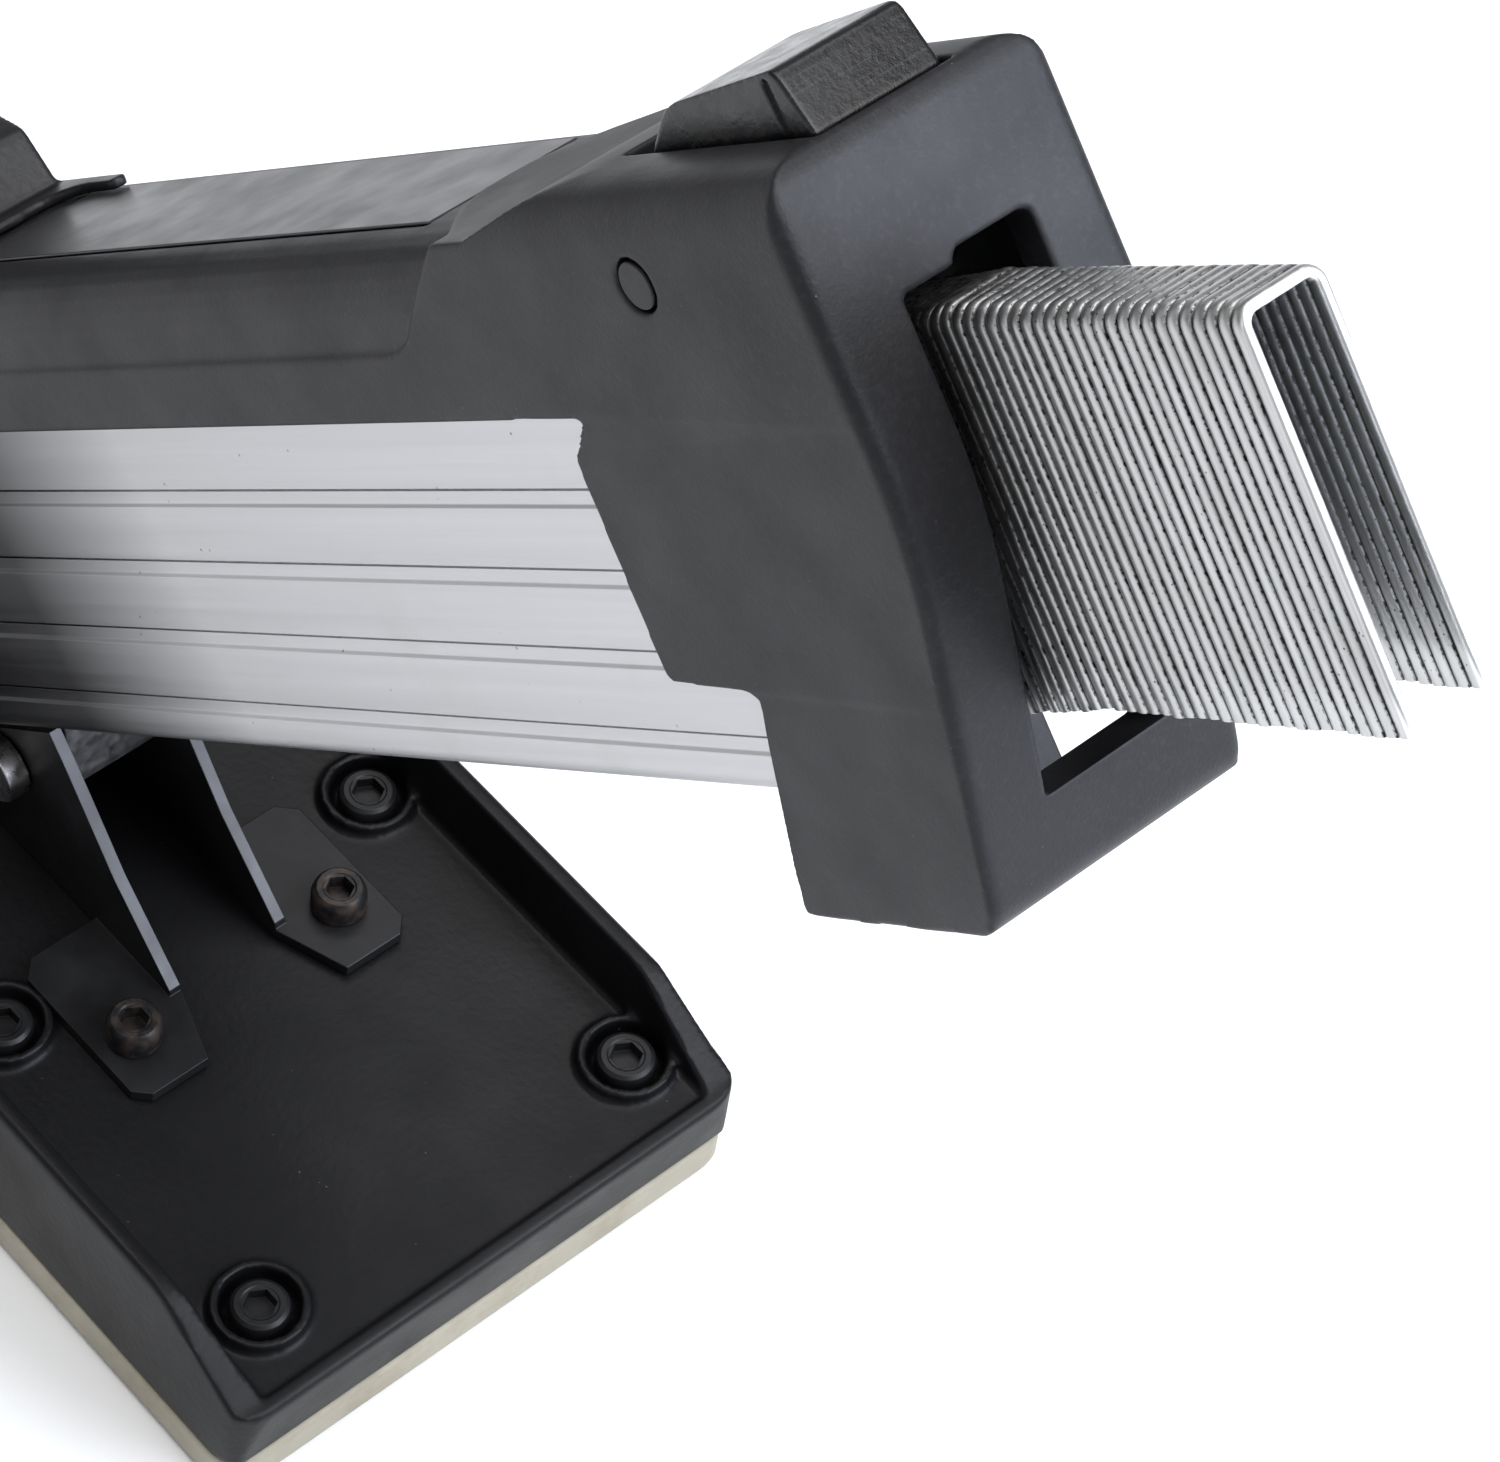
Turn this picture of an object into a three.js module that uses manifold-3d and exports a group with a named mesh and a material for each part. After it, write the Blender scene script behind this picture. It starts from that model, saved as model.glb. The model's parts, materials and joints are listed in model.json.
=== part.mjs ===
// Mallet-struck pneumatic flooring stapler, loaded with a half inserted stick of staples.
//
// World frame: millimetres, +Z up, floor at z = 0, +X from the nose back towards the person
// who uses it, origin under the middle of the bounding box.
//
// Most of the tool is drawn in the "driving frame", which is turned 45 degrees:
//   x = m, along the magazine from the staple exit up to the loading end
//   y,     across the tool (0 is its plane of symmetry)
//   z = u, up the cylinder, against the direction in which a staple is driven
// The driving frame's origin is the staple exit, on the floor. The shoe is drawn level, from
// the same point.

import * as THREE from 'three';
import { mergeVertices } from 'three/addons/utils/BufferGeometryUtils.js';
import Module from 'manifold-3d';

const wasm = await Module();
wasm.setup();

// ---------------------------------------------------------------- driving dimensions

const DRIVE_ANGLE = Math.PI / 4;
const GAP = 0.3;

const STAPLE_CROWN = 12.7;
const STAPLE_LEG = 50.8;
const STAPLE_WIRE = 1.6;
const STRIP_FRONT = 312;
const STRIP_REAR = 420;

const MAG_HALF = 17;
const MAG_WALL = 3.5;
const MAG_BOTTOM = -6.3;
const MAG_FLOOR = -1;
const MAG_TOP = 56.4;
const MAG_FRONT = 35;
const MAG_REAR = 330;
const GROOVE_LEVELS = [1.9, 13.3, 24.6, 35.8];
const GROOVE_STEP = 2.8;

const COVER_HALF = 21.2;
const COVER_SKIRT = 47.1;
const COVER_TOP = 70.3;
const COVER_FRONT = 62;
const CAP_TOP = 75.8;
const CAP_REAR = 367;
const CAP_BOTTOM = -23;
const CHANNEL_REAR = 308;
const CHANNEL_TOP = 66.6;
const LABEL = { m0: 140, m1: 276.5, half: 12 };

const LEVER_PIN = { m: 333.6, u: 63.9, r: 4.1 };
const LEVER_HALF = 9.5;

const PUSHER_TRAVEL = 215;
const TAB = { m0: 62, m1: 78, u0: 59, u1: 62.5 };
const PAWL_PIVOT = { m: 60, u: 59.8, r: 1.8 };

const CYL_BASE = 99;
const CYL_TOP = 240;
const CYL_R = 38;
const CYL_BORE = 31.5;
const SLEEVE_R = 27.5;
const PISTON_LOW = 188;
const PISTON_HIGH = 212;
const BLADE_TIP = 54.5;
const BLADE_HALF = 6.3;
const BLADE_THICK = 2.2;
const HEAD_BOLT_CIRCLE = 37.6;
const CAP_FACE = 327;
const ARM_BOLT_M = 112;
const ARM_FLANGE_TOP = 72.6;

const HANDLE_U = 190;
const HANDLE_REAR = 322;
const HANDLE_HALF = 17;
const HANDLE_RISE = 21;

// The shoe, its brackets and the hanger stand a little left of the magazine's middle plane.
const SHOE_Y = -2;
const SHOE_HALF = 51.4;
const SHOE_RIM_HALF = 49.8;
const SHOE_ROOM_HALF = 45.6;
const SHOE_FRONT = -14;
const SHOE_REAR = 171;
const SHOE_LIP = 2.2;
const WEAR_TOP = 7;
const WEAR_REAR = 169.8;
const SHOE_BOTTOM = WEAR_TOP + GAP;
const DECK = 21;
const SHOE_RIM = 33;
const SHOE_SCREWS = [[22, 38], [90.5, 37], [155.5, 37]];
const FOOT_BOLT = [105.5, 20.6];
const PLATE_IN = 9.5;
const PLATE_THICK = 2.2;
const HANGER_BOLT = { x: 62, z: 42, r: 3 };
const SIDE_BOLT = { x: 11, z: 30 };

// ---------------------------------------------------------------- materials

const paint = (color, roughness, metalness) =>
  new THREE.MeshStandardMaterial({ color, roughness, metalness });

const MATERIAL = {
  casting: () => paint(0x26272b, 0.45, 0.35),
  moulding: () => paint(0x2e2f34, 0.6, 0.0),
  gloss: () => paint(0x17181a, 0.3, 0.0),
  rubber: () => paint(0x1b1b1c, 0.85, 0.0),
  aluminium: () => paint(0xc4c5c8, 0.35, 0.9),
  zinc: () => paint(0xa9abaf, 0.3, 0.9),
  steel: () => paint(0x8b8d92, 0.35, 0.9),
  blackSteel: () => paint(0x232327, 0.4, 0.7),
  sole: () => paint(0xcfc6ae, 0.55, 0.0),
  urethane: () => paint(0xb98c4a, 0.6, 0.0),
  label: () => paint(0x1f2023, 0.5, 0.0),
  brass: () => paint(0xb9964e, 0.3, 0.9),
};

// ---------------------------------------------------------------- shape helpers

// A closed outline. A point may carry a third number, which rounds off that corner.
function outline(points) {
  const at = (i) => new THREE.Vector2(...points[(i + points.length) % points.length].slice(0, 2));
  const shape = new THREE.Shape();
  points.forEach(([, , round = 0], i) => {
    const corner = at(i);
    const enter = corner.clone().add(at(i - 1).sub(corner).setLength(round));
    const leave = corner.clone().add(at(i + 1).sub(corner).setLength(round));
    if (i === 0) shape.moveTo(enter.x, enter.y);
    else shape.lineTo(enter.x, enter.y);
    if (round) shape.quadraticCurveTo(corner.x, corner.y, leave.x, leave.y);
  });
  shape.closePath();
  return shape;
}

const rectangle = (a0, b0, a1, b1, round = 0) =>
  outline([[a0, b0, round], [a1, b0, round], [a1, b1, round], [a0, b1, round]]);

function oval(halfA, halfB, centreA = 0, centreB = 0) {
  const shape = new THREE.Shape();
  shape.absellipse(centreA, centreB, halfA, halfB, 0, 2 * Math.PI, false, 0);
  return shape;
}

function extrude(shape, depth, curveSegments) {
  return new THREE.ExtrudeGeometry(shape, { depth, curveSegments, bevelEnabled: false });
}

// A closed geometry as a manifold-3d solid, turned the right way out.
function solid(geometry) {
  const bare = geometry.clone();
  bare.deleteAttribute('normal');
  bare.deleteAttribute('uv');
  const merged = mergeVertices(bare, 1e-4);
  const vertProperties = new Float32Array(merged.attributes.position.array);
  const triVerts = new Uint32Array(merged.index.array);
  let volume = 0;
  const p = [0, 1, 2].map(() => new THREE.Vector3());
  for (let i = 0; i < triVerts.length; i += 3) {
    p.forEach((v, k) => v.fromArray(vertProperties, 3 * triVerts[i + k]));
    volume += p[0].dot(p[1].clone().cross(p[2]));
  }
  if (volume < 0) {
    for (let i = 0; i < triVerts.length; i += 3) {
      [triVerts[i], triVerts[i + 1]] = [triVerts[i + 1], triVerts[i]];
    }
  }
  return new wasm.Manifold(new wasm.Mesh({ numProp: 3, vertProperties, triVerts }));
}

// An outline in (x, z), extruded across the tool from y0 to y1.
function across(shape, y0, y1, curveSegments = 5) {
  const geometry = extrude(shape, y1 - y0, curveSegments);
  geometry.rotateX(Math.PI / 2);
  geometry.translate(0, y1, 0);
  return solid(geometry);
}

// An outline in (y, z), extruded along x from x0 to x1.
function along(shape, x0, x1, curveSegments = 5) {
  const geometry = extrude(shape, x1 - x0, curveSegments);
  const turn = new THREE.Matrix4().makeBasis(
    new THREE.Vector3(0, 1, 0),
    new THREE.Vector3(0, 0, 1),
    new THREE.Vector3(1, 0, 0),
  );
  geometry.applyMatrix4(turn);
  geometry.translate(x0, 0, 0);
  return solid(geometry);
}

// An outline in (x, y), extruded up from z0 to z1.
function upward(shape, z0, z1, curveSegments = 5) {
  const geometry = extrude(shape, z1 - z0, curveSegments);
  geometry.translate(0, 0, z0);
  return solid(geometry);
}

function block(x0, x1, y0, y1, z0, z1) {
  const geometry = new THREE.BoxGeometry(x1 - x0, y1 - y0, z1 - z0);
  geometry.translate((x0 + x1) / 2, (y0 + y1) / 2, (z0 + z1) / 2);
  return solid(geometry);
}

// A profile of [radius, height] points turned about the z axis.
function turned(profile, segments = 32) {
  const points = profile.map(([r, h]) => new THREE.Vector2(r, h));
  if (profile[0][0] > 0) points.push(points[0].clone());
  const geometry = new THREE.LatheGeometry(points, segments);
  geometry.rotateX(Math.PI / 2);
  return solid(geometry);
}

// A round bar between two points.
function bar(from, to, radius, segments = 16) {
  const a = new THREE.Vector3(...from);
  const b = new THREE.Vector3(...to);
  const geometry = new THREE.CylinderGeometry(radius, radius, a.distanceTo(b), segments);
  const turn = new THREE.Quaternion().setFromUnitVectors(
    new THREE.Vector3(0, 1, 0),
    b.clone().sub(a).normalize(),
  );
  geometry.applyQuaternion(turn);
  geometry.translate(...a.clone().add(b).multiplyScalar(0.5).toArray());
  return solid(geometry);
}

const join = (...pieces) => pieces.reduce((whole, piece) => whole.add(piece));
const cut = (piece, ...tools) => tools.reduce((rest, tool) => rest.subtract(tool), piece);

// A bolt: its underhead point, the way its shank points, and a socket in its head.
function bolt(at, way, { shank, length, head, height, socket = head * 0.5 }) {
  const base = new THREE.Vector3(...at);
  const dir = new THREE.Vector3(...way).normalize();
  const point = (d) => base.clone().addScaledVector(dir, d).toArray();
  const whole = join(
    bar(point(-height), point(0.01), head, 12),
    bar(point(0), point(length), shank, 8),
  );
  return cut(whole, bar(point(-height - 1), point(-height * 0.45), socket, 6));
}

class Helix extends THREE.Curve {
  constructor(centre, radius, height, turns) {
    super();
    Object.assign(this, { centre, radius, height, turns });
  }

  getPoint(t, target = new THREE.Vector3()) {
    const turn = 2 * Math.PI * this.turns * t;
    return target.set(
      this.centre[0] + this.radius * Math.cos(turn),
      this.centre[1] + this.radius * Math.sin(turn),
      this.centre[2] + this.height * t,
    );
  }
}

function coil(centre, radius, height, turns, wire) {
  const wireSection = new THREE.Shape();
  wireSection.absarc(0, 0, wire / 2, 0, 2 * Math.PI, false);
  const extrudePath = new Helix(centre, radius, height, turns);
  const geometry = new THREE.ExtrudeGeometry(wireSection, {
    steps: Math.round(turns * 9),
    extrudePath,
    curveSegments: 3,
    bevelEnabled: false,
  });
  return solid(geometry);
}

// A point of the level frame, in the driving frame.
const toDriving = ({ x, z }) => [
  (x * Math.cos(DRIVE_ANGLE) + z * Math.sin(DRIVE_ANGLE)),
  (z * Math.cos(DRIVE_ANGLE) - x * Math.sin(DRIVE_ANGLE)),
];

// ---------------------------------------------------------------- scene graph

const tool = new THREE.Group();
const driving = new THREE.Group();
driving.rotation.y = -DRIVE_ANGLE;
tool.add(driving);

function place(group, name, shape, material) {
  const { vertProperties, triVerts } = shape.getMesh();
  const geometry = new THREE.BufferGeometry();
  geometry.setAttribute('position', new THREE.BufferAttribute(vertProperties, 3));
  geometry.setIndex(new THREE.BufferAttribute(triVerts, 1));
  geometry.computeVertexNormals();
  const mesh = new THREE.Mesh(geometry, material);
  mesh.name = name;
  group.add(mesh);
}

const onMagazine = (name, shape, material) => place(driving, name, shape, material());
const onShoe = (name, shape, material) => place(tool, name, shape, material());

// ---------------------------------------------------------------- staples and magazine

function stapleStrip() {
  const half = STAPLE_CROWN / 2;
  const inner = half - STAPLE_WIRE;
  const section = outline([
    [-half, 0], [-inner, 0], [-inner, STAPLE_LEG - STAPLE_WIRE, 0.8],
    [inner, STAPLE_LEG - STAPLE_WIRE, 0.8], [inner, 0], [half, 0],
    [half, STAPLE_LEG, 2.2], [-half, STAPLE_LEG, 2.2],
  ]);
  return along(section, STRIP_FRONT, STRIP_REAR, 4);
}

// One side wall of the extrusion from the bottom up, with its pairs of shallow grooves.
function groovedSide(side) {
  const depth = 0.8;
  const half = 0.6;
  const points = [];
  GROOVE_LEVELS.forEach((level) => {
    [level - GROOVE_STEP, level].forEach((u) => {
      points.push([side * MAG_HALF, u - half], [side * (MAG_HALF - depth), u - half]);
      points.push([side * (MAG_HALF - depth), u + half], [side * MAG_HALF, u + half]);
    });
  });
  return points;
}

function magazineExtrusion() {
  const inner = MAG_HALF - MAG_WALL;
  const section = outline([
    [-MAG_HALF, MAG_BOTTOM, 2], [MAG_HALF, MAG_BOTTOM, 2],
    ...groovedSide(1),
    [MAG_HALF, MAG_TOP], [inner, MAG_TOP], [inner, MAG_FLOOR], [-inner, MAG_FLOOR],
    [-inner, MAG_TOP], [-MAG_HALF, MAG_TOP],
    ...groovedSide(-1).reverse(),
  ]);
  return along(section, MAG_FRONT, MAG_REAR, 4);
}

function stapleCore() {
  const outer = 4.4;
  const inner = 2.9;
  const bottom = MAG_FLOOR + GAP;
  const section = outline([
    [-outer, bottom], [-inner, bottom], [-inner, 47], [inner, 47],
    [inner, bottom], [outer, bottom], [outer, 48.6, 1], [-outer, 48.6, 1],
  ]);
  return along(section, 3, MAG_REAR - 2, 3);
}

// The long black moulding: a rail over the extrusion and, in one piece, the loading end cap.
function magazineCover() {
  const railOutside = outline([
    [-COVER_HALF, COVER_SKIRT], [COVER_HALF, COVER_SKIRT], [COVER_HALF, COVER_TOP, 11],
    [-COVER_HALF, COVER_TOP, 11],
  ]);
  const capSide = outline([
    [308.3, COVER_SKIRT], [301.4, 41.2, 1.5], [300, 10.3, 2], [318.5, 9.6, 3], [315.2, 2.6, 2],
    [307.7, CAP_BOTTOM, 2], [348.5, CAP_BOTTOM + 1.2, 4], [CAP_REAR, 31, 10],
    [CAP_REAR, CAP_TOP, 3], [316, CAP_TOP, 8], [284, COVER_TOP, 6], [284, COVER_SKIRT],
  ]);
  const capAround = outline([
    [-COVER_HALF, CAP_BOTTOM, 3], [COVER_HALF, CAP_BOTTOM, 3], [COVER_HALF, CAP_TOP, 7],
    [-COVER_HALF, CAP_TOP, 7],
  ]);
  const shell = join(
    along(railOutside, COVER_FRONT, 312, 6),
    across(capSide, -COVER_HALF, COVER_HALF, 4).intersect(along(capAround, 280, 370, 5)),
  );

  const room = MAG_HALF + GAP;
  const capCavity = outline([
    [290, MAG_TOP + GAP], [361, MAG_TOP + GAP], [361, 26], [356, 12], [341.5, -14],
    [341.5, CAP_BOTTOM - 3], [313, CAP_BOTTOM - 3], [313, -9], [318.5, MAG_BOTTOM - GAP],
    [290, MAG_BOTTOM - GAP],
  ]);
  const slot = outline([
    [-9.5, -8.4], [10.5, -8.4], [10.5, 57.2, 1.5], [-0.8, 57.2], [-1.8, 55.6], [-9.5, 55.6],
  ]);
  const leverWell = outline([
    [324, 50], [343.5, 50], [343.5, 66.8], [364.8, 66.8], [364.8, 90], [324, 90],
  ]);
  return cut(
    shell,
    block(COVER_FRONT - 1, 314, -room, room, 40, MAG_TOP + GAP),
    block(COVER_FRONT - 1, CHANNEL_REAR, -11, 11, 50, CHANNEL_TOP),
    across(capCavity, -room, room),
    block(313, 341, 10, 30, CAP_BOTTOM - 3, -9),
    along(slot, 335, 375),
    across(leverWell, -LEVER_HALF - 0.8, LEVER_HALF + 0.8),
    bar([353, 0, 59], [353, 0, 70], 3.6, 16),
    bar([LEVER_PIN.m, -30, LEVER_PIN.u], [LEVER_PIN.m, 30, LEVER_PIN.u], LEVER_PIN.r + GAP, 20),
    block(TAB.m0 - 3, TAB.m1 + PUSHER_TRAVEL + 3, 5, 30, TAB.u0 - 0.6, TAB.u1 + 0.6),
    block(LABEL.m0 - 0.5, LABEL.m1 + 0.5, -LABEL.half - 0.5, LABEL.half + 0.5,
      COVER_TOP - 0.8, COVER_TOP + 5),
    bar([ARM_BOLT_M, 0, 60], [ARM_BOLT_M, 0, 80], 2.8, 8),
    bar([ARM_BOLT_M, 0, 60], [ARM_BOLT_M, 0, CHANNEL_TOP + 2.1], 4.7, 12),
  );
}

function retainerLever() {
  const side = outline([
    [329, 52.6], [333.5, 52.6], [338.5, 56.8, 2], [341.8, 61, 2], [342.2, 69.6, 2],
    [362.4, 71.4, 1], [363.4, 75.5], [360, 83.6, 2.4], [335.5, 80.8, 3], [328.6, 75],
    [326.6, 60],
  ]);
  const bore = bar([LEVER_PIN.m, -20, LEVER_PIN.u], [LEVER_PIN.m, 20, LEVER_PIN.u],
    LEVER_PIN.r + GAP, 20);
  return cut(across(side, -LEVER_HALF, LEVER_HALF), bore);
}

onMagazine('staple_strip', stapleStrip(), MATERIAL.zinc);
onMagazine('magazine_extrusion', magazineExtrusion(), MATERIAL.aluminium);
onMagazine('staple_core', stapleCore(), MATERIAL.aluminium);
onMagazine('magazine_cover', magazineCover(), MATERIAL.moulding);
onMagazine('label_plate', block(LABEL.m0, LABEL.m1, -LABEL.half, LABEL.half,
  COVER_TOP - 0.5, COVER_TOP), MATERIAL.label);
onMagazine('retainer_lever', retainerLever(), MATERIAL.gloss);
onMagazine('lever_pin', bar([LEVER_PIN.m, -COVER_HALF, LEVER_PIN.u],
  [LEVER_PIN.m, COVER_HALF, LEVER_PIN.u], LEVER_PIN.r, 20), MATERIAL.blackSteel);
onMagazine('lever_spring', coil([353, 0, 60], 2.6, 9.6, 5, 0.9), MATERIAL.steel);

// ---------------------------------------------------------------- pusher

function pusherCarriage() {
  const body = block(40, 88, -9.8, 9.8, 52.2, 65.8);
  const tab = block(TAB.m0, TAB.m1, 9, 24, TAB.u0, TAB.u1);
  const pawlRoom = block(39, 89, -3.6, 3.6, 50, 63.6);
  const pinHole = bar([PAWL_PIVOT.m, -12, PAWL_PIVOT.u], [PAWL_PIVOT.m, 9, PAWL_PIVOT.u],
    PAWL_PIVOT.r + GAP, 16);
  return cut(join(body, tab), pawlRoom, pinHole);
}

function feedPawl() {
  const side = outline([
    [56, 57.2, 1], [56, 62.6, 1], [63, 62.6, 1], [84, 58.5, 1], [84, 52.8], [78, 52.8], [64, 57.2],
  ]);
  const bore = bar([PAWL_PIVOT.m, -5, PAWL_PIVOT.u], [PAWL_PIVOT.m, 5, PAWL_PIVOT.u],
    PAWL_PIVOT.r + GAP, 16);
  return cut(across(side, -3.1, 3.1), bore);
}

function pusherKnob() {
  const face = rectangle(57, 48, 80, 63.4, 5);
  return across(face, 24.3, 35, 5);
}

onMagazine('pusher_carriage', pusherCarriage(), MATERIAL.steel);
onMagazine('pusher_knob', pusherKnob(), MATERIAL.rubber);
onMagazine('feed_pawl', feedPawl(), MATERIAL.steel);
onMagazine('pawl_pin', bar([PAWL_PIVOT.m, -9.5, PAWL_PIVOT.u], [PAWL_PIVOT.m, 8.5, PAWL_PIVOT.u],
  PAWL_PIVOT.r, 16), MATERIAL.steel);
onMagazine('feed_spring', cut(
  bar([47, -2.9, 58.2], [47, 2.9, 58.2], 4.8, 20),
  bar([47, -4, 58.2], [47, 4, 58.2], 2.6, 16),
), MATERIAL.steel);

// ---------------------------------------------------------------- nose

function noseGuide() {
  const [boltM, boltU] = toDriving(SIDE_BOLT);
  const side = outline([
    [1.6, 0.4], [8, MAG_BOTTOM + 0.2], [MAG_FRONT - GAP, MAG_BOTTOM], [MAG_FRONT - GAP, 58],
    [24, 72, 4], [24, CYL_BASE - GAP], [1.6, CYL_BASE - GAP],
  ]);
  const channel = block(-3, 60, -7, 7, MAG_FLOOR, 51.8);
  const pawlRoom = block(30, 60, -10, 10, 40, 70);
  return cut(
    across(side, -MAG_HALF, MAG_HALF),
    channel,
    pawlRoom,
    ...[30, 84].flatMap((u) => [-12, 12].map((y) => bar([0, y, u], [16, y, u], 2.4, 8))),
    ...[-1, 1].map((half) => bar([boltM, half * 30, boltU], [boltM, half * 11, boltU], 3, 8)),
  );
}

function noseCover() {
  const side = outline([
    [-13, 14], [-1.7, 2.6], [1.3, 0.4], [1.3, CYL_BASE - GAP], [-13, CYL_BASE - GAP],
  ]);
  const bladeChannel = block(-1.5, 3, -BLADE_HALF - 0.4, BLADE_HALF + 0.4, -5, 110);
  return cut(
    across(side, -MAG_HALF, MAG_HALF),
    bladeChannel,
    ...[30, 84].flatMap((u) => [-12, 12].map((y) => bar([-20, y, u], [5, y, u], 2.8, 8))),
  );
}

onMagazine('nose_guide', noseGuide(), MATERIAL.blackSteel);
onMagazine('nose_cover', noseCover(), MATERIAL.blackSteel);
[[-12, 30], [12, 30], [-12, 84], [12, 84]].forEach(([y, u], i) => {
  const shape = bolt([-13 - GAP, y, u], [1, 0, 0], { shank: 2.2, length: 26, head: 4.4, height: 5 });
  onMagazine(`nose_bolt_${i + 1}`, shape, MATERIAL.blackSteel);
});

// ---------------------------------------------------------------- body, cylinder and handle

// The four lugs, bolts and holes round the cylinder flange.
const flangePoints = [45, 135, 225, 315].map((degrees) => {
  const angle = THREE.MathUtils.degToRad(degrees);
  return [HEAD_BOLT_CIRCLE * Math.cos(angle), HEAD_BOLT_CIRCLE * Math.sin(angle)];
});

function bodyCasting() {
  const barrel = turned([
    [0, CYL_BASE], [30, CYL_BASE], [36, 104], [CYL_R, 113], [CYL_R, CYL_TOP - 14],
    [43, CYL_TOP - 9], [43, CYL_TOP], [0, CYL_TOP],
  ]);
  const handle = along(oval(HANDLE_HALF, HANDLE_RISE, 0, HANDLE_U), 20, HANDLE_REAR, 10);
  const throat = across(outline([
    [20, 158], [20, 224], [44, 224, 8], [92, 206, 12], [92, 174, 12], [52, 158, 10],
  ]), -13, 13);
  const armLug = across(outline([
    [98, HANDLE_U - 10], [98, 150, 8], [126, 150, 8], [126, HANDLE_U - 10],
  ]), -5.2, 5.2);
  return cut(
    join(barrel, handle, throat, armLug),
    turned([[0, 106], [CYL_BORE, 106], [CYL_BORE, CYL_TOP + 1], [0, CYL_TOP + 1]]),
    block(-2.6, 2.6, -7.4, 7.4, 90, 110),
    along(oval(HANDLE_HALF - 4, HANDLE_RISE - 4, 0, HANDLE_U), 10, HANDLE_REAR + 1, 8),
    bar([112, -10, 159], [112, 10, 159], 4.3, 20),
    ...flangePoints.map(([m, y]) => bar([m, y, 222], [m, y, CYL_TOP + 1], 2.7, 8)),
  );
}

const ring = (inside, outside, low, high) =>
  turned([[inside, low], [outside, low], [outside, high], [inside, high]]);

function cylinderHead() {
  const low = CYL_TOP + 1.6;
  const shape = turned([
    [0, low + 5], [20, low + 5], [20, low], [43, low], [43, 254], [40, 257], [25, 257],
    [24, 276], [10, 276], [10, 262], [0, 262],
  ]);
  return cut(
    shape,
    bar([0, 0, 240], [0, 0, 280], 6.4, 20),
    ...flangePoints.map(([m, y]) => bar([m, y, 230], [m, y, 270], 2.7, 8)),
  );
}

function strikeCap() {
  return turned([
    [0, 306], [28, 306], [28, 273], [32.5, 273], [33.5, 310], [31, 321], [24, CAP_FACE], [0, CAP_FACE],
  ]);
}

const pistonShape = turned([
  [0, PISTON_LOW], [12, PISTON_LOW], [12, PISTON_LOW + 7], [27.1, PISTON_LOW + 7],
  [27.1, PISTON_LOW + 13], [24.6, PISTON_LOW + 13], [24.6, PISTON_LOW + 18], [27.1, PISTON_LOW + 18],
  [27.1, PISTON_HIGH], [0, PISTON_HIGH],
]);

onMagazine('body_casting', bodyCasting(), MATERIAL.casting);
onMagazine('cylinder_sleeve', ring(SLEEVE_R, 30.5, 106.5, 236), MATERIAL.aluminium);
onMagazine('bumper', turned([
  [7.8, 106.5], [27, 106.5], [27, 118], [24, 130], [7.8, 130],
]), MATERIAL.urethane);
onMagazine('piston', pistonShape, MATERIAL.aluminium);
onMagazine('piston_seal', ring(24.9, 27.3, PISTON_LOW + 13.4, PISTON_LOW + 17.6), MATERIAL.rubber);
onMagazine('driver_blade', block(-BLADE_THICK / 2, BLADE_THICK / 2, -BLADE_HALF, BLADE_HALF,
  BLADE_TIP, PISTON_LOW - GAP), MATERIAL.steel);
onMagazine('head_gasket', cut(
  ring(32, 43, CYL_TOP + GAP, CYL_TOP + 1.3),
  ...flangePoints.map(([m, y]) => bar([m, y, 230], [m, y, 250], 2.7, 8)),
), MATERIAL.rubber);
onMagazine('cylinder_head', cylinderHead(), MATERIAL.casting);
flangePoints.forEach(([m, y], i) => {
  const shape = bolt([m, y, 257.4], [0, 0, -1], { shank: 2.4, length: 30, head: 4.2, height: 5 });
  onMagazine(`head_bolt_${i + 1}`, shape, MATERIAL.zinc);
});
onMagazine('strike_cap', strikeCap(), MATERIAL.rubber);
onMagazine('valve_plunger', turned([
  [0, 250], [6, 250], [6, 302], [9, 302], [9, 306 - GAP], [0, 306 - GAP],
], 20), MATERIAL.steel);
onMagazine('return_spring', coil([0, 0, 277.6], 12, 26, 5, 2.2), MATERIAL.steel);

onMagazine('handle_grip', cut(
  along(oval(HANDLE_HALF + 3, HANDLE_RISE + 3, 0, HANDLE_U), 172, 306, 10),
  along(oval(HANDLE_HALF + GAP, HANDLE_RISE + GAP, 0, HANDLE_U), 160, 310, 10),
), MATERIAL.rubber);

function handleEndCap() {
  const m = HANDLE_REAR + GAP;
  return cut(
    join(
      along(oval(HANDLE_HALF + 1.5, HANDLE_RISE + 1.5, 0, HANDLE_U), m, m + 10, 10),
      bar([m, 0, HANDLE_U], [m + 14, 0, HANDLE_U], 12, 32),
    ),
    bar([m - 5, 0, HANDLE_U], [m + 20, 0, HANDLE_U], 7, 20),
    ...[-16, 16].map((du) => bar([m - 5, 0, HANDLE_U + du], [m + 20, 0, HANDLE_U + du], 2.5, 8)),
  );
}

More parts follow.
